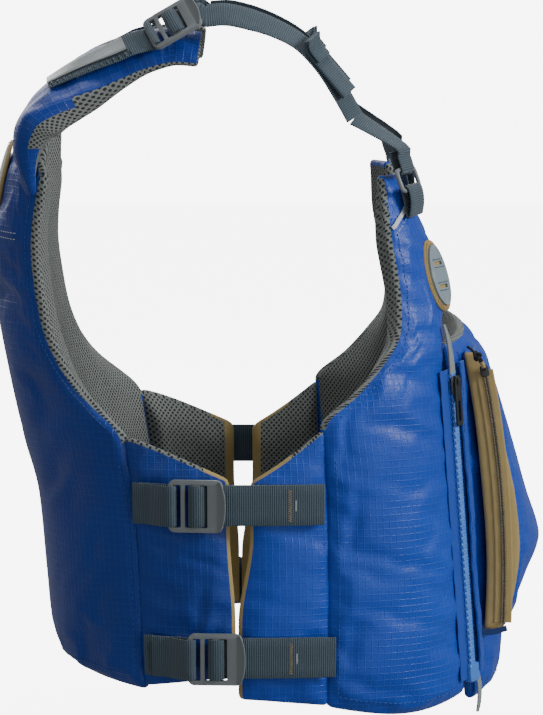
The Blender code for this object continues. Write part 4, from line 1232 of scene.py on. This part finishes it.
def make_side_straps():
    for name, strap in (("upper", UPPER_STRAP), ("lower", LOWER_STRAP)):
        place = strap_frame(strap)
        half_web = SIDE_WEB_WIDTH / 2
        raised = place @ Matrix.Translation((0, 0, BUCKLE_LIFT))
        buckle, lip = ladder_buckle(f"buckle_{name}_right", half_web, raised)
        width = place.to_3x3() @ Vector((0, SIDE_WEB_WIDTH, 0))
        back_points = back_web_route(strap, place)
        front_points = front_web_route(strap, place)
        widths = [width] * len(back_points)
        back = strip(f"web_{name}_back_right", back_points, widths, WEBBING, "web")
        widths = [width] * len(front_points)
        front = strip(f"web_{name}_front_right", front_points, widths, WEBBING, "web")
        end_angle, height = strap["front_seam"], strap["height"]
        fold_points = [under(end_angle - 0.2, height, -WEB_LIFT - 0.0016)]
        fold_points += [under(end_angle - k, height, -WEB_LIFT - 0.0019) for k in (3, 6, 8.2)]
        fold = strip(f"web_{name}_fold_right", fold_points, [width * 0.995] * 4, WEBBING, "web")
        tacks = []
        for angle, reach, pitch in ((end_angle - 7.0, 0.0012, 0.0009), (end_angle - 5.9, 0.0, 0.0012)):
            along = skin(angle + 1, height) - skin(angle - 1, height)
            spot = frame_of(under(angle, height, -WEB_LIFT - 0.0029), along, outward(angle, height))
            half = 0.0125 if reach else 0.0045
            tacks.append((zigzag(spot, half, pitch, reach), "thread_tan" if reach else "thread_white"))
        for k, (points, look) in enumerate(tacks):
            thread = tube(f"tack_{name}_{k}_right", [points], 0.00034, look, 5)
            other = twin(thread, f"tack_{name}_{k}_left")
            settle(thread, "front_right_panel", "slate_webbing")
            settle(other, "root", "slate_webbing")
        seam_angle = strap["back_seam"]
        along = skin(seam_angle + 1, height) - skin(seam_angle - 1, height)
        middle = under(seam_angle + 1.6, height, -WEB_LIFT - 0.0009)
        spot = frame_of(middle, along, outward(seam_angle + 1.6, height))
        zig = zigzag(spot, 0.0120, 0.0011, 0.0010)
        thread = tube(f"seam_tack_{name}_right", [zig], 0.00032, "thread_slate", 5)
        for piece in (thread, twin(thread, f"seam_tack_{name}_left")):
            settle(piece, "root", "slate_webbing")
        for piece, side in ((back, "right"), (twin(back, f"web_{name}_back_left"), "left")):
            settle(piece, "root", "slate_webbing", f"side_web_{name}_back_{side}")
        left = twin(front, f"web_{name}_front_left")
        left_fold = twin(fold, f"web_{name}_fold_left")
        start = skin(strap["centre"] + 3, height)
        end = skin(strap["centre"] + 14, height)
        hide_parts(f"side_web_{name}_front_right")
        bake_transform(front)
        settle(left, "root", "slate_webbing", f"side_web_{name}_front_left")
        settle(fold, "front_right_panel", "slate_webbing")
        settle(left_fold, "root", "slate_webbing")
        for piece, side in ((buckle, "right"), (twin(buckle, f"buckle_{name}_left"), "left")):
            settle(piece, f"side_buckle_{name}_{side}", "grey_plastic", f"side_buckle_{name}_{side}")
        for piece, side in ((lip, "right"), (twin(lip, f"buckle_{name}_left_lip"), "left")):
            settle(piece, f"side_buckle_{name}_{side}", "grey_plastic")


def ring_frame():
    down = skin(RING_ANGLE, RING_HEIGHT - 0.01) - skin(RING_ANGLE, RING_HEIGHT + 0.01)
    return frame_of(under(RING_ANGLE, RING_HEIGHT, -RING_LIFT), down, outward(RING_ANGLE, RING_HEIGHT))


def bight(centre, radius, start, end):
    turns = [math.radians(start + (end - start) * k / 6) for k in range(7)]
    return [(centre + radius * math.cos(t), radius * math.sin(t)) for t in turns]


def make_shoulder_straps():
    place = shoulder_frame()
    across = across_of(place, SHOULDER_WEB_WIDTH)
    buckle, lip = ladder_buckle("shoulder_ladder_right", SHOULDER_WEB_WIDTH / 2, place)
    loop = in_frame(place, [(s, n - BUCKLE_LIFT) for s, n in loop_round_bar(BAR_RADIUS)])
    daisy = [above_pad(0.1490, 0.4955, 0.0018), above_pad(0.1240, 0.5090, 0.0018)]
    daisy += [above_pad(0.0960, 0.5210, 0.0018), above_pad(0.0840, 0.5265, 0.0020)]
    daisy_widths = web_across(daisy) + [across] * len(loop)
    daisy_web = strip("daisy_web_right", daisy + loop, daisy_widths, WEBBING, "web", 0.002)
    tape_path = [above_pad(0.1490, 0.4955, 0.0040), above_pad(0.1240, 0.5090, 0.0040)]
    tape_path += [above_pad(0.0960, 0.5210, 0.0040), above_pad(0.0880, 0.5248, 0.0040)]
    tape_across = web_across(tape_path)
    tape_path = [p + w * 0.10 for p, w in zip(tape_path, tape_across)]
    tape = strip("tape_right", tape_path, [w * 0.60 for w in tape_across], 0.0009, "reflective", 0.003)
    loops = []
    for k in range(14):
        t = k / 13
        y, z = 0.1460 + (0.0860 - 0.1460) * t, 0.4968 + (0.5256 - 0.4968) * t
        spot = above_pad(y, z, 0.0026)
        across_pad, normal = rolled(PAD_SLOPE, y)
        middle = spot - across_pad * SHOULDER_WEB_WIDTH * 0.36
        arch = ((-0.0020, -0.0003), (-0.0010, 0.0010), (0.0010, 0.0010), (0.0022, -0.0002))
        loops.append([middle + across_pad * a + normal * b for a, b in arch])
    daisy_loops = tube("daisy_loops_right", loops, 0.0011, "web", 6)
    weave = [(-0.0048, -0.0044), (-0.0048, 0.0008), (-0.0032, 0.0030), (0.0036, 0.0030),
             (0.0062, 0.0008), (0.0070, -0.0028), (0.0105, -0.0038), (0.0215, -0.0042)]
    start = in_frame(place, weave)
    middle = [side_point(y, z) for y, z in SHOULDER_SPINE]
    ring_place = ring_frame()
    radius = RING_WIRE + GAP + WEBBING / 2 + 0.0004
    route = [(-0.0260, radius), (-0.0180, radius)] + bight(-RING_HALF_DROP, radius, 90, -90)[1:-1]
    route += [(-RING_HALF_DROP, -radius), (-0.0180, -radius), (-0.0240, -radius + 0.0008)]
    end = in_frame(ring_place, route)
    ring_across = across_of(ring_place, SHOULDER_WEB_WIDTH)
    upper_widths = [across] * len(start) + web_across(middle)
    web = strip("shoulder_strap_right", start + middle, upper_widths, WEBBING, "web", 0.0025)
    lower_widths = [upper_widths[-1]] + [ring_across * 0.92] * len(end)
    lower_web = strip("strap_end_right", [middle[-1]] + end, lower_widths, WEBBING, "web", 0.0025)

    along = (Vector((0, -0.0485, 0.5290)) - Vector((0, -0.0800, 0.4900))).normalized()
    wide, normal = rolled(along, -0.0660)
    base = side_point(-0.0660, 0.5110)
    steps = [(-0.030, 0.0034), (-0.015, 0.0030), (0.0, 0.0026), (0.016, 0.0030), (0.023, 0.0085)]
    keeper_points = [base + along * s + normal * n for s, n in steps]
    keeper_width = wide * SHOULDER_WEB_WIDTH * 0.92
    keeper = strip("keeper_right", keeper_points, [keeper_width] * 5, 0.0026, "web", 0.002)
    fold_steps = [(0.004, 0.0030), (0.016, 0.0034), (0.0225, 0.0082)]
    fold_points = [base + along * s + normal * (n + 0.0027) for s, n in fold_steps]
    fold_width = wide * SHOULDER_WEB_WIDTH * 0.90
    turned = strip("keeper_fold_right", fold_points, [fold_width] * 3, 0.0016, "web", 0.002)

    outline = rounded_outline(RING_HALF_DROP, RING_HALF_WIDTH, 0.0048, 0.0, 10)
    ring_points = [ring_place @ Vector((x, y, 0.0)) for x, y in outline]
    ring = tube("ring_wire_right", [ring_points], RING_WIRE, "plastic", 14, closed=True)
    loop_route = [(0.0290, -0.0040), (0.0215, 0.0004), (0.0140, 0.0027)]
    loop_route += bight(RING_HALF_DROP, radius, 80, 270)
    loop_route += [(0.0160, -0.0040), (0.0240, -0.0055), (0.0290, -0.0062)]
    loop_widths = [ring_across] * len(loop_route)
    loop_points = in_frame(ring_place, loop_route)
    ring_loop = strip("yoke_loop_right", loop_points, loop_widths, WEBBING, "web", 0.002)

    fabrics = (
        (daisy_web, "daisy_webbing", "slate_webbing"),
        (tape, "reflective_tape", "reflective_tape"),
        (keeper, "strap_keeper", "slate_webbing"),
    )
    for piece, node, slot in fabrics:
        for made, side in ((piece, "right"), (left_of(piece), "left")):
            settle(made, "root", slot, f"{node}_{side}")
    for piece in (daisy_loops, turned):
        for made in (piece, left_of(piece)):
            settle(made, "root", "slate_webbing")
    left_web = twin(web, "shoulder_strap_left")
    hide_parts("shoulder_web_right")
    tuple(middle[-1])
    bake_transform(web)
    settle(left_web, "root", "slate_webbing", "shoulder_web_left")
    bar = ring_place @ Vector((-RING_HALF_DROP - 0.004, 0, 0))
    left_lower = twin(lower_web, "strap_end_left")
    strap_ends = (
        (lower_web, "front_right_panel", "right", 1),
        (left_lower, "root", "left", -1),
    )
    for piece, holder, side, sign in strap_ends:
        ends = [(sign * point.x, point.y, point.z) for point in (middle[-1], bar)]
        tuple(ends[0])
        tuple(ends[1])
        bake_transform(piece)
    left_loop = twin(ring_loop, "yoke_loop_left")
    settle(ring_loop, "front_right_panel", "slate_webbing", "ring_loop_right")
    settle(left_loop, "root", "slate_webbing", "ring_loop_left")
    for piece, side in ((ring, "right"), (left_of(ring), "left")):
        settle(piece, f"ring_{side}", "grey_plastic", f"ring_{side}")
    for piece, side in ((buckle, "right"), (left_of(buckle), "left")):
        settle(piece, f"shoulder_buckle_{side}", "grey_plastic", f"shoulder_buckle_{side}")
    for piece, side in ((lip, "right"), (left_of(lip), "left")):
        settle(piece, f"shoulder_buckle_{side}", "grey_plastic")


# ================================================================ front zip
TOOTH_PITCH, ZIP_LENGTH = 0.0050, (ZIP_HIGH - ZIP_LOW).length
SLIDER_TOP = ZIP_LENGTH - 0.0120


def zip_frame():
    middle = (ZIP_LOW.z + ZIP_HIGH.z) / 2
    return frame_of(ZIP_LOW, (ZIP_HIGH - ZIP_LOW).normalized(), outward(at(ZIP_ANGLE, middle), middle))


def zip_teeth(name, side, phase, place):
    """Moulded teeth, each a rounded block with a narrow neck, one by one up the tape."""
    bm = bmesh.new()
    layer = bm.loops.layers.uv.new("UVMap")
    position = phase
    while position < ZIP_LENGTH - 0.003:
        made = bmesh.ops.create_cube(bm, size=1.0)["verts"]
        for vert in made:
            across = side * (0.0042 if vert.co.y * side > 0 else -0.0030)
            length = 0.0022 if vert.co.y * side > 0 else 0.0031
            thick = 0.0022 if vert.co.y * side > 0 else 0.0032
            vert.co = Vector((position + vert.co.x * length, across, vert.co.z * thick + 0.0004))
        edges = {e for v in made for e in v.link_edges}
        bevel = {"segments": 2, "profile": 0.6, "affect": "EDGES", "clamp_overlap": True}
        bmesh.ops.bevel(bm, geom=list(edges), offset=0.0007, **bevel)
        position += TOOTH_PITCH
    for face in bm.faces:
        for loop in face.loops:
            loop[layer].uv = loop.vert.co.xy
    bmesh.ops.recalc_face_normals(bm, faces=bm.faces)
    bm.transform(place)
    return from_bmesh(name, bm, ["teeth"])


def make_zip():
    place = zip_frame()
    turn = place.to_3x3()
    xs = [ZIP_LENGTH * k / 16 for k in range(17)]
    normal = turn @ Vector((0, 0, 1))

    def line(y, z):
        return [place @ Vector((x, y, z)) for x in xs]

    def even(y, z=0.0):
        return [turn @ Vector((0, y, z))] * len(xs)

    halves = (("right", 1, 0.004, "front_right_panel"), ("left", -1, 0.0065, "root"))
    for name, side, phase, body in halves:
        teeth = zip_teeth(f"zip_teeth_{name}", side, phase, place)
        settle(teeth, body, "blue_zip_teeth", f"zip_half_{name}")
        path = line(side * 0.0098, -0.0006)
        tape = strip(f"zip_tape_{name}", path, even(0.0150), 0.0010, "tape", 0.005, 0.0003)
        settle(tape, body, "blue_nylon")
        path = line(side * 0.0040, 0.0002)
        cord = strip(f"zip_bead_{name}", path, even(0.0022), 0.0014, "tape", 0.004)
        settle(cord, body, "blue_nylon")
        path = [(p, normal) for p in line(side * 0.0064, 0.0003)]
        settle(stitches(f"zip_stitch_{name}_0", path, "thread_blue"), body, "blue_nylon")
    bed = strip("zip_bed", line(0.0, -0.0018), even(0.0100), 0.0010, "tape_dark", 0.006)
    settle(bed, "root", "blue_nylon")
    flap = []
    for k, x in enumerate(xs):
        flap.append(place @ Vector((x + 0.004, -0.0112, 0.0026 + 0.0007 * math.sin(k * 0.9))))
    guard = strip("zip_flap", flap, even(0.0095, 0.0020), 0.0018, "tape", 0.004, 0.0004)
    settle(guard, "root", "blue_nylon")
    path = [(p + turn @ Vector((0, 0.0018, 0.0011)), normal) for p in flap]
    settle(stitches("zip_flap_stitch", path, "thread_blue"), "root", "blue_nylon")

    box_place = place @ Matrix.Translation((0.0040, 0, 0))
    outline = rounded_outline(0.0074, 0.0070, 0.0022, 0.0, 6)
    box = plate("zip_box", [outline], 0.0066, "teeth", box_place, 0.0012)
    settle(box, "root", "blue_zip_teeth", "zip_bottom_box")

    side_run = [(-0.0085, 0.0046), (-0.0050, 0.0062), (0.0030, 0.0064), (0.0060, 0.0050)]
    outer = [(-0.0085, -0.0046)] + side_run + [(0.0066, 0.0)] + [(x, -y) for x, y in side_run[:0:-1]]
    slider_place = place @ Matrix.Translation((SLIDER_TOP, 0, 0.0028))
    top = plate("slider_face", [outer], 0.0012, "black", slider_place, 0.0006)
    back_place = place @ Matrix.Translation((SLIDER_TOP, 0, -0.0025))
    low = plate("slider_back", [outer], 0.0014, "black", back_place, 0.0005)
    arch = [(-0.0030, 0.0030), (-0.0015, 0.0052), (0.0015, 0.0063), (0.0045, 0.0060), (0.0060, 0.0031)]
    path = in_frame(place, [(SLIDER_TOP + x, z) for x, z in arch])
    bridge = strip("slider_bridge", path, [turn @ Vector((0, 0.0040, 0))] * 5, 0.0014, "black", 0.001)
    settle(top, "zip_slider", "black_plastic", "zip_slider")
    settle(low, "zip_slider", "black_plastic")
    settle(bridge, "zip_slider", "black_plastic")
    half = 0.0200
    pivot = SLIDER_TOP + 0.0055
    middle = Vector((pivot + 0.0009 - half, 0.0, 0.0047))
    upper_run = [(half, 0.0026), (half - 0.006, 0.0040), (-half + 0.003, 0.0046), (-half, 0.0034)]
    outline = [(half, -0.0026)] + upper_run + [(x, -y) for x, y in upper_run[:0:-1]]
    slot = rounded_outline(0.0085, 0.0019, 0.0016, -0.0085, 4)
    puller_place = place @ Matrix.Translation(middle)
    puller = plate("puller_tab", [outline, slot], 0.0018, "black", puller_place, 0.0006)
    settle(puller, "zip_puller", "black_plastic", "zip_puller")


# ================================================================ pocket
POCKET_RIGHT, POCKET_LEFT, POCKET_LOW, POCKET_HIGH = -0.0830, 0.0900, 0.058, 0.283
POCKET_WALL = [
    (0.058, 0.2125), (0.090, 0.2230), (0.125, 0.2270), (0.165, 0.2235), (0.200, 0.2160),
    (0.245, 0.2050), (0.275, 0.1945), (0.283, 0.1900),
]
POCKET_CROWN = [
    (0.058, 0.2180), (0.080, 0.2240), (0.100, 0.2325), (0.118, 0.2415), (0.125, 0.2430),
    (0.132, 0.2415), (0.160, 0.2320), (0.200, 0.2206), (0.245, 0.2070), (0.283, 0.1960),
]
COIL_ARC_RADIUS, COIL_ARC_CENTRE = 0.851, Vector((0.0, 0.6388, 0.1000))
COIL_LOW, COIL_TOP = -2.4, 11.40


def chest_reach(x, height):
    share = (abs(x) / at(HALF_WIDTH, height)) ** ROUNDNESS
    return at(FRONT_REACH, height) * (1 - share) ** (1 / ROUNDNESS)


def pocket_front(x, height):
    u = (x - POCKET_RIGHT) / (POCKET_LEFT - POCKET_RIGHT)
    wall, crown = at(POCKET_WALL, height), at(POCKET_CROWN, height)
    left = chest_reach(POCKET_LEFT, height) + 0.010
    if u < 0.5:
        reach = wall + (crown - wall) * math.sin(math.pi * u)
    else:
        reach = left + (crown - left) * max(0.0, math.cos(math.pi * (u - 0.5))) ** 0.8
    return max(reach, chest_reach(x, height) + 0.004)


def pocket_place(u, v):
    x = POCKET_RIGHT + (POCKET_LEFT - POCKET_RIGHT) * u
    return x, POCKET_LOW + (POCKET_HIGH - POCKET_LOW) * v


def pocket_point(u, v, depth):
    x, height = pocket_place(u, v)
    return Vector((x, -pocket_front(x, height) + depth, height))


def coil_point(turn, out=0.0, across=0.0):
    angle = math.radians(turn)
    spoke = Vector((0, -math.cos(angle), math.sin(angle)))
    point = COIL_ARC_CENTRE + spoke * (COIL_ARC_RADIUS + across)
    point.x = POCKET_RIGHT - 0.0013 - out
    return point


def make_pocket():
    def thick(u, v):
        x, height = pocket_place(u, v)
        return max(0.0025, pocket_front(x, height) - chest_reach(x, height) - 0.0022)

    def rims(u, v):
        return (2, 0.12) if u <= 0.001 else (0, 0.2)

    def flatten(u, v):
        return u * 0.175, v * 0.225

    bag, loose = pillow(
        "pocket_bag", 34, 40, pocket_point, flatten, thick, rims, ["nylon", "nylon", "tan"],
        notch=None, sink=0.0016, proud=0.0, lining=None,
    )
    inflate(bag, loose, 0.0035, 0.04, 3.0)
    settle(subdivide(bag), "root", "blue_nylon", "pocket_body", "pocket_gusset")

    turns = [COIL_LOW + (COIL_TOP - COIL_LOW) * k / 40 for k in range(41)]
    for name, across in (("front", -0.0042), ("rear", 0.0042)):
        edge = [coil_point(t, -0.0002, -across) for t in turns]
        band = strip(f"coil_tape_{name}", edge, [Vector((0, 0.0060, 0))] * 41, 0.0008, "tan", 0.004, 0.0002)
        settle(band, "root", "tan_fabric")
    for name, side in (("front", 1), ("rear", -1)):
        comb = []
        count = 170
        for k in range(count):
            turn = turns[0] + (turns[-1] - turns[0]) * k / (count - 1)
            tooth = ((0.0006, 0.0003), (0.0013, 0.0010), (0.0008, 0.0020))
            comb.append([coil_point(turn, out, side * across) for out, across in tooth])
        settle(tube(f"coil_teeth_{name}", comb, 0.00042, "coil", 5), "root", "black_plastic")
    line = [coil_point(t, 0.0004) for t in turns]
    settle(tube("coil_line", [line], 0.00065, "black", 6), "root", "black_plastic")

    foot = []
    for k in range(9):
        t = k / 8
        height = 0.0600 - 0.0035 * math.sin(math.pi * t)
        foot.append(Vector((POCKET_RIGHT - 0.0016, -0.1830 - 0.0320 * t, height)))
    end = strip("coil_end", foot, [Vector((0, 0, 0.0050))] * 9, 0.0022, "tape_dark", 0.002)
    settle(end, "root", "blue_nylon")
    dart = []
    for k in range(15):
        u = 0.02 + 0.44 * k / 14
        height = 0.096 + 0.029 * smooth(k / 14)
        dart.append(pocket_point(u, (height - POCKET_LOW) / (POCKET_HIGH - POCKET_LOW), 0.0002))
    settle(tube("pocket_dart", [dart], 0.0009, "tape", 6), "root", "blue_nylon")

    turn = math.radians(COIL_TOP)
    along = Vector((0, math.sin(turn), math.cos(turn)))
    origin = coil_point(COIL_TOP)
    place = frame_of(origin, along, Vector((-1, 0, 0)))
    outline = rounded_outline(0.0045, 0.0034, 0.0016, 0.0, 5)
    slider_place = place @ Matrix.Translation((0, 0, 0.0034))
    body = plate("coil_slider", [outline], 0.0022, "black", slider_place, 0.0006)
    route = [(0.0005, 0.0, 0.0046), (0.0030, 0.0, 0.0056), (0.0075, 0.0010, 0.0061), (0.0110, 0.0022, 0.0063)]
    strands = []
    for side in (-1, 1):
        strands.append([place @ Vector((x, y + side * 0.0008, z)) for x, y, z in route])
    tip = ((0.0160, 0.0050, 0.0062), (0.0190, 0.0068, 0.0062), (0.0225, 0.0100, 0.0060))
    strands.append([place @ Vector(point) for point in tip])
    knot = []
    for k in range(40):
        t = 2 * math.pi * k / 40
        x = 0.0135 + 0.0013 * (math.sin(t) + 2 * math.sin(2 * t)) * 0.9
        y = 0.0036 + 0.0011 * (math.cos(t) - 2 * math.cos(2 * t)) * 0.9
        knot.append(place @ Vector((x, y, 0.0062 - 0.0011 * math.sin(3 * t))))
    pull = tube("pull_cord", strands, 0.0011, "cord", 8)
    tied = tube("pull_knot", [knot], 0.0012, "cord", 8, closed=True)
    cuff = ((0.0030, 0.0, 0.0056), (0.0055, 0.0006, 0.0060), (0.0080, 0.0011, 0.0062))
    sleeve = tube("pull_sleeve", [[place @ Vector(point) for point in cuff]], 0.0019, "tan", 10)
    settle(body, "pocket_slider", "black_plastic", "pocket_slider")
    settle(pull, "pocket_slider", "black_plastic", "pocket_pull")
    settle(tied, "pocket_slider", "black_plastic")
    settle(sleeve, "pocket_slider", "tan_fabric")


# ================================================================ patches
OVAL_RINGS, OVAL_SIDES = 8, 48


def oval_slab(name, face, low, high, look):
    """A thin oval patch that follows the surface below it. face(a, b, lift) takes a and b from -1 to 1."""
    bm = bmesh.new()
    layer = bm.loops.layers.uv.new("UVMap")
    levels = []
    for lift in (low, high):
        centre = bm.verts.new(face(0, 0, lift))
        grid = []
        for r in range(1, OVAL_RINGS + 1):
            share = r / OVAL_RINGS
            drop = 0.0004 if (r == OVAL_RINGS and lift == high) else 0.0
            ring = []
            for k in range(OVAL_SIDES):
                turn = 2 * math.pi * k / OVAL_SIDES
                a, b = share * math.cos(turn), share * math.sin(turn)
                ring.append(bm.verts.new(face(a, b, lift - drop)))
            grid.append(ring)
        levels.append((centre, grid))
    for centre, grid in levels:
        for k in range(OVAL_SIDES):
            j = (k + 1) % OVAL_SIDES
            bm.faces.new((centre, grid[0][k], grid[0][j]))
            for inner, outer in zip(grid, grid[1:]):
                bm.faces.new((inner[k], outer[k], outer[j], inner[j]))
    under_rim, top_rim = levels[0][1][-1], levels[1][1][-1]
    for k in range(OVAL_SIDES):
        j = (k + 1) % OVAL_SIDES
        bm.faces.new((under_rim[k], under_rim[j], top_rim[j], top_rim[k]))
    bmesh.ops.recalc_face_normals(bm, faces=bm.faces)
    for f in bm.faces:
        for loop in f.loops:
            loop[layer].uv = (loop.vert.co.y, loop.vert.co.z)
    return from_bmesh(name, bm, [look])


def bend(obj, onto):
    """Cuts a flat plate into bands and lays it on a curved surface."""
    bm = bmesh.new()
    bm.from_mesh(obj.data)
    for axis, reach in ((0, 0.023), (1, 0.0145)):
        for k in range(-4, 5):
            point, normal = Vector(), Vector()
            point[axis], normal[axis] = reach * k / 4.5, 1.0
            geometry = list(bm.verts) + list(bm.edges) + list(bm.faces)
            bmesh.ops.bisect_plane(bm, geom=geometry, plane_co=point, plane_no=normal)
    for vert in bm.verts:
        vert.co = onto(*vert.co)
    bmesh.ops.recalc_face_normals(bm, faces=bm.faces)
    bm.to_mesh(obj.data)
    bm.free()


def make_patches():
    def badge_place(a, b):
        return BADGE_ANGLE + a * BADGE_HALF_ANGLE, BADGE_HEIGHT + b * BADGE_HALF_HEIGHT

    def badge_rim(a, b, lift):
        return under(*badge_place(a, b), -lift)

    def badge_face(a, b, lift):
        return badge_rim(a * 0.84, b * 0.84, lift)

    tan = oval_slab("badge_rim", badge_rim, 0.0012, 0.0034, "tan")
    pale = oval_slab("badge_face", badge_face, 0.0030, 0.0042, "badge")
    settle(tan, "root", "tan_fabric", "back_badge")
    settle(pale, "root", "tan_fabric")
    edge = []
    for k in range(61):
        turn = 2 * math.pi * k / 60
        a, b = math.cos(turn) * 0.92, math.sin(turn) * 0.92
        edge.append((badge_rim(a, b, 0.0036), outward(*badge_place(a, b))))
    settle(stitches("badge_stitch", edge, "thread_tan", 0.0018, 0.0009), "root", "tan_fabric")

    up = skin(LASH_ANGLE, LASH_HEIGHT + 0.01) - skin(LASH_ANGLE, LASH_HEIGHT - 0.01)
    place = frame_of(under(LASH_ANGLE, LASH_HEIGHT, -0.0030), up, outward(LASH_ANGLE, LASH_HEIGHT))
    two_degrees = skin(LASH_ANGLE + 1, LASH_HEIGHT) - skin(LASH_ANGLE - 1, LASH_HEIGHT)
    degree = two_degrees.dot(place.to_3x3() @ Vector((0, 1, 0))) / 2

    def chest_point(x, y, z):
        return under(LASH_ANGLE + y / degree, LASH_HEIGHT + x, -0.0030 - z)

    turns = [2 * math.pi * k / 56 for k in range(56)]
    outline = [(LASH_HALF_LENGTH * math.cos(t), LASH_HALF_WIDTH * math.sin(t)) for t in turns]
    slots = [rounded_outline(0.0014, 0.0078, 0.0012, s, 4) for s in (-0.0090, 0.0090)]
    tab = plate("lash_patch", [outline] + slots, 0.0020, "patch", Matrix(), 0.0005)
    bend(tab, chest_point)
    settle(tab, "front_right_panel", "grey_patch", "lash_tab")

    def backing_face(a, b, lift):
        return chest_point(a * 0.0280, b * 0.0185, lift - 0.0022)

    backing = oval_slab("lash_backing", backing_face, -0.0030, 0.0012, "tan")
    settle(backing, "front_right_panel", "tan_fabric")
    zig = []
    count = 120
    for k in range(count + 1):
        turn = 2 * math.pi * k / count
        reach = 0.90 if k % 2 else 0.99
        x, y = math.cos(turn) * 0.0272 * reach, math.sin(turn) * 0.0178 * reach
        zig.append(chest_point(x, y, -0.0008))
    settle(tube("lash_zigzag", [zig], 0.00034, "thread_tan", 5), "front_right_panel", "tan_fabric")
    bars = []
    for s in (-0.0090, 0.0090):
        for side in (-1, 1):
            ys = (-0.0090, -0.003, 0.003, 0.0090)
            bars.append([chest_point(s + side * 0.0030, y, 0.0012) for y in ys])
    settle(tube("lash_bars", bars, 0.00034, "thread_slate", 5), "front_right_panel", "grey_patch")


# ================================================================ seams, bindings and topstitching
def shell(*objs):
    """One search tree over the finished outer surfaces."""
    graph = bpy.context.evaluated_depsgraph_get()
    verts, faces = [], []
    for obj in objs:
        mesh = obj.evaluated_get(graph).to_mesh()
        base = len(verts)
        verts += [obj.matrix_world @ v.co for v in mesh.vertices]
        faces += [[base + i for i in f.vertices] for f in mesh.polygons]
        obj.evaluated_get(graph).to_mesh_clear()
    return BVHTree.FromPolygons(verts, faces)


def drape(tree, places, steps):
    """(point, normal) pairs on the finished cloth below a path of (angle, height) stations."""
    path = []
    for k in range(steps + 1):
        run = k / steps * (len(places) - 1)
        i = min(int(run), len(places) - 2)
        t = run - i
        angle = places[i][0] + (places[i + 1][0] - places[i][0]) * t
        height = places[i][1] + (places[i + 1][1] - places[i][1]) * t
        normal = outward(angle, height)
        start = skin(angle, height) + normal * 0.030
        hit, face_normal, _, _ = tree.ray_cast(start, -normal, 0.055)
        if hit is not None:
            path.append((hit, face_normal if face_normal.dot(normal) > 0 else normal))
    return path


def make_seams(back, right, left):
    rear = shell(back)
    front = shell(right)
    other = shell(left)

    def sew(name, tree, places, look, body, **options):
        path = drape(tree, places, 60)
        settle(stitches(name, path, look, **options), body, "blue_nylon")

    for row, height in enumerate((0.3800, 0.3752)):
        places = [(a, height - abs(a) * 0.00006) for a in range(-31, 32, 3)]
        sew(f"back_topstitch_{row}", rear, places, "thread_white", "root", radius=0.00034)
    heights = [0.035 + 0.0155 * k for k in range(12)]
    for side_name, sign in (("right", 1), ("left", -1)):
        sew(f"back_seam_stitch_{side_name}", rear, [(sign * 59.6, h) for h in heights], "thread_blue", "root")
    heights = [0.02 + 0.0172 * k for k in range(12)]
    right_seam, left_seam = [(108.0, h) for h in heights], [(252.0, h) for h in heights]
    sew("front_seam_stitch_right", front, right_seam, "thread_blue", "front_right_panel")
    sew("front_seam_stitch_left", other, left_seam, "thread_blue", "root")

    def hem(place):
        ends = [place(0.04 + 0.92 * k / 16, 0.0) for k in range(17)]
        return [(angle, height + 0.009) for angle, height in ends]

    def mirrored(places):
        return [(360 - angle, height) for angle, height in places]

    sew("back_hem_stitch", rear, hem(back_place), "thread_blue", "root")
    sew("front_right_hem_stitch", front, hem(front_right_place), "thread_blue", "front_right_panel")
    sew("front_left_hem_stitch", other, hem(front_left_place), "thread_blue", "root")

    heights = [0.24 + 0.011 * k for k in range(17)]
    armhole = [(at(ARMHOLE_EDGE, h) + 1.8, h) for h in heights]
    sew("armhole_stitch_right", front, armhole, "thread_blue", "front_right_panel")
    sew("armhole_stitch_left", other, mirrored(armhole), "thread_blue", "root")
    heights = [0.23 + 0.0127 * k for k in range(17)]
    for side_name, sign in (("right", 1), ("left", -1)):
        edge = [(sign * (at(BACK_EDGE, h) - 1.6), h) for h in heights]
        sew(f"back_armhole_stitch_{side_name}", rear, edge, "thread_blue", "root")

    def pipe(name, tree, places, body):
        path = drape(tree, places, 28)
        points = [p + n * 0.0009 for p, n in path]
        widths = []
        for i, (_, normal) in enumerate(path):
            ahead = path[min(i + 1, len(path) - 1)][0] - path[max(i - 1, 0)][0]
            widths.append(ahead.cross(normal).normalized() * 0.0034)
        settle(strip(name, points, widths, 0.0014, "piping", 0.003, 0.0002), body, "grey_mesh")

    piping = [(136.6 + 1.4 * k, 0.3855 + 0.0023 * k) for k in range(9)]
    pipe("yoke_piping_right", front, piping, "front_right_panel")
    pipe("yoke_piping_left", other, mirrored(piping), "root")
    below = [(a, h - 0.0055) for a, h in piping]
    sew("yoke_stitch_right", front, below, "thread_white", "front_right_panel")
    sew("yoke_stitch_left", other, mirrored(below), "thread_white", "root")


def make_trim():
    """The pale strip above the slider and the zip's small tail below the box."""
    place = zip_frame()
    turn = place.to_3x3()
    above = place @ Matrix.Translation((ZIP_LENGTH, 0, 0))
    guard = (
        (-0.004, 0.0, 0.0008, 0.0085), (0.010, 0.001, 0.0010, 0.0070),
        (0.024, 0.003, 0.0008, 0.0050), (0.036, 0.005, -0.0010, 0.0030),
    )
    tail = (
        (0.002, -0.0072, 0.0004, 0.0060), (-0.010, -0.0086, 0.0010, 0.0062),
        (-0.022, -0.0066, 0.0008, 0.0058), (-0.030, -0.0040, 0.0, 0.0040),
    )
    trims = (("zip_guard", guard, above, 0.0014), ("zip_tail", tail, place, 0.0011))
    for name, stations, base, thickness in trims:
        points = [base @ Vector((x, y, z)) for x, y, z, _ in stations]
        widths = [turn @ Vector((0, width, 0)) for _, _, _, width in stations]
        settle(strip(name, points, widths, thickness, "binding", 0.002), "root", "grey_mesh")


def main():
    studio()
    back, right, left = make_panels()
    make_shoulder_lobes()
    make_side_straps()
    make_shoulder_straps()
    make_zip()
    make_pocket()
    make_patches()
    make_seams(back, right, left)
    make_trim()


main()
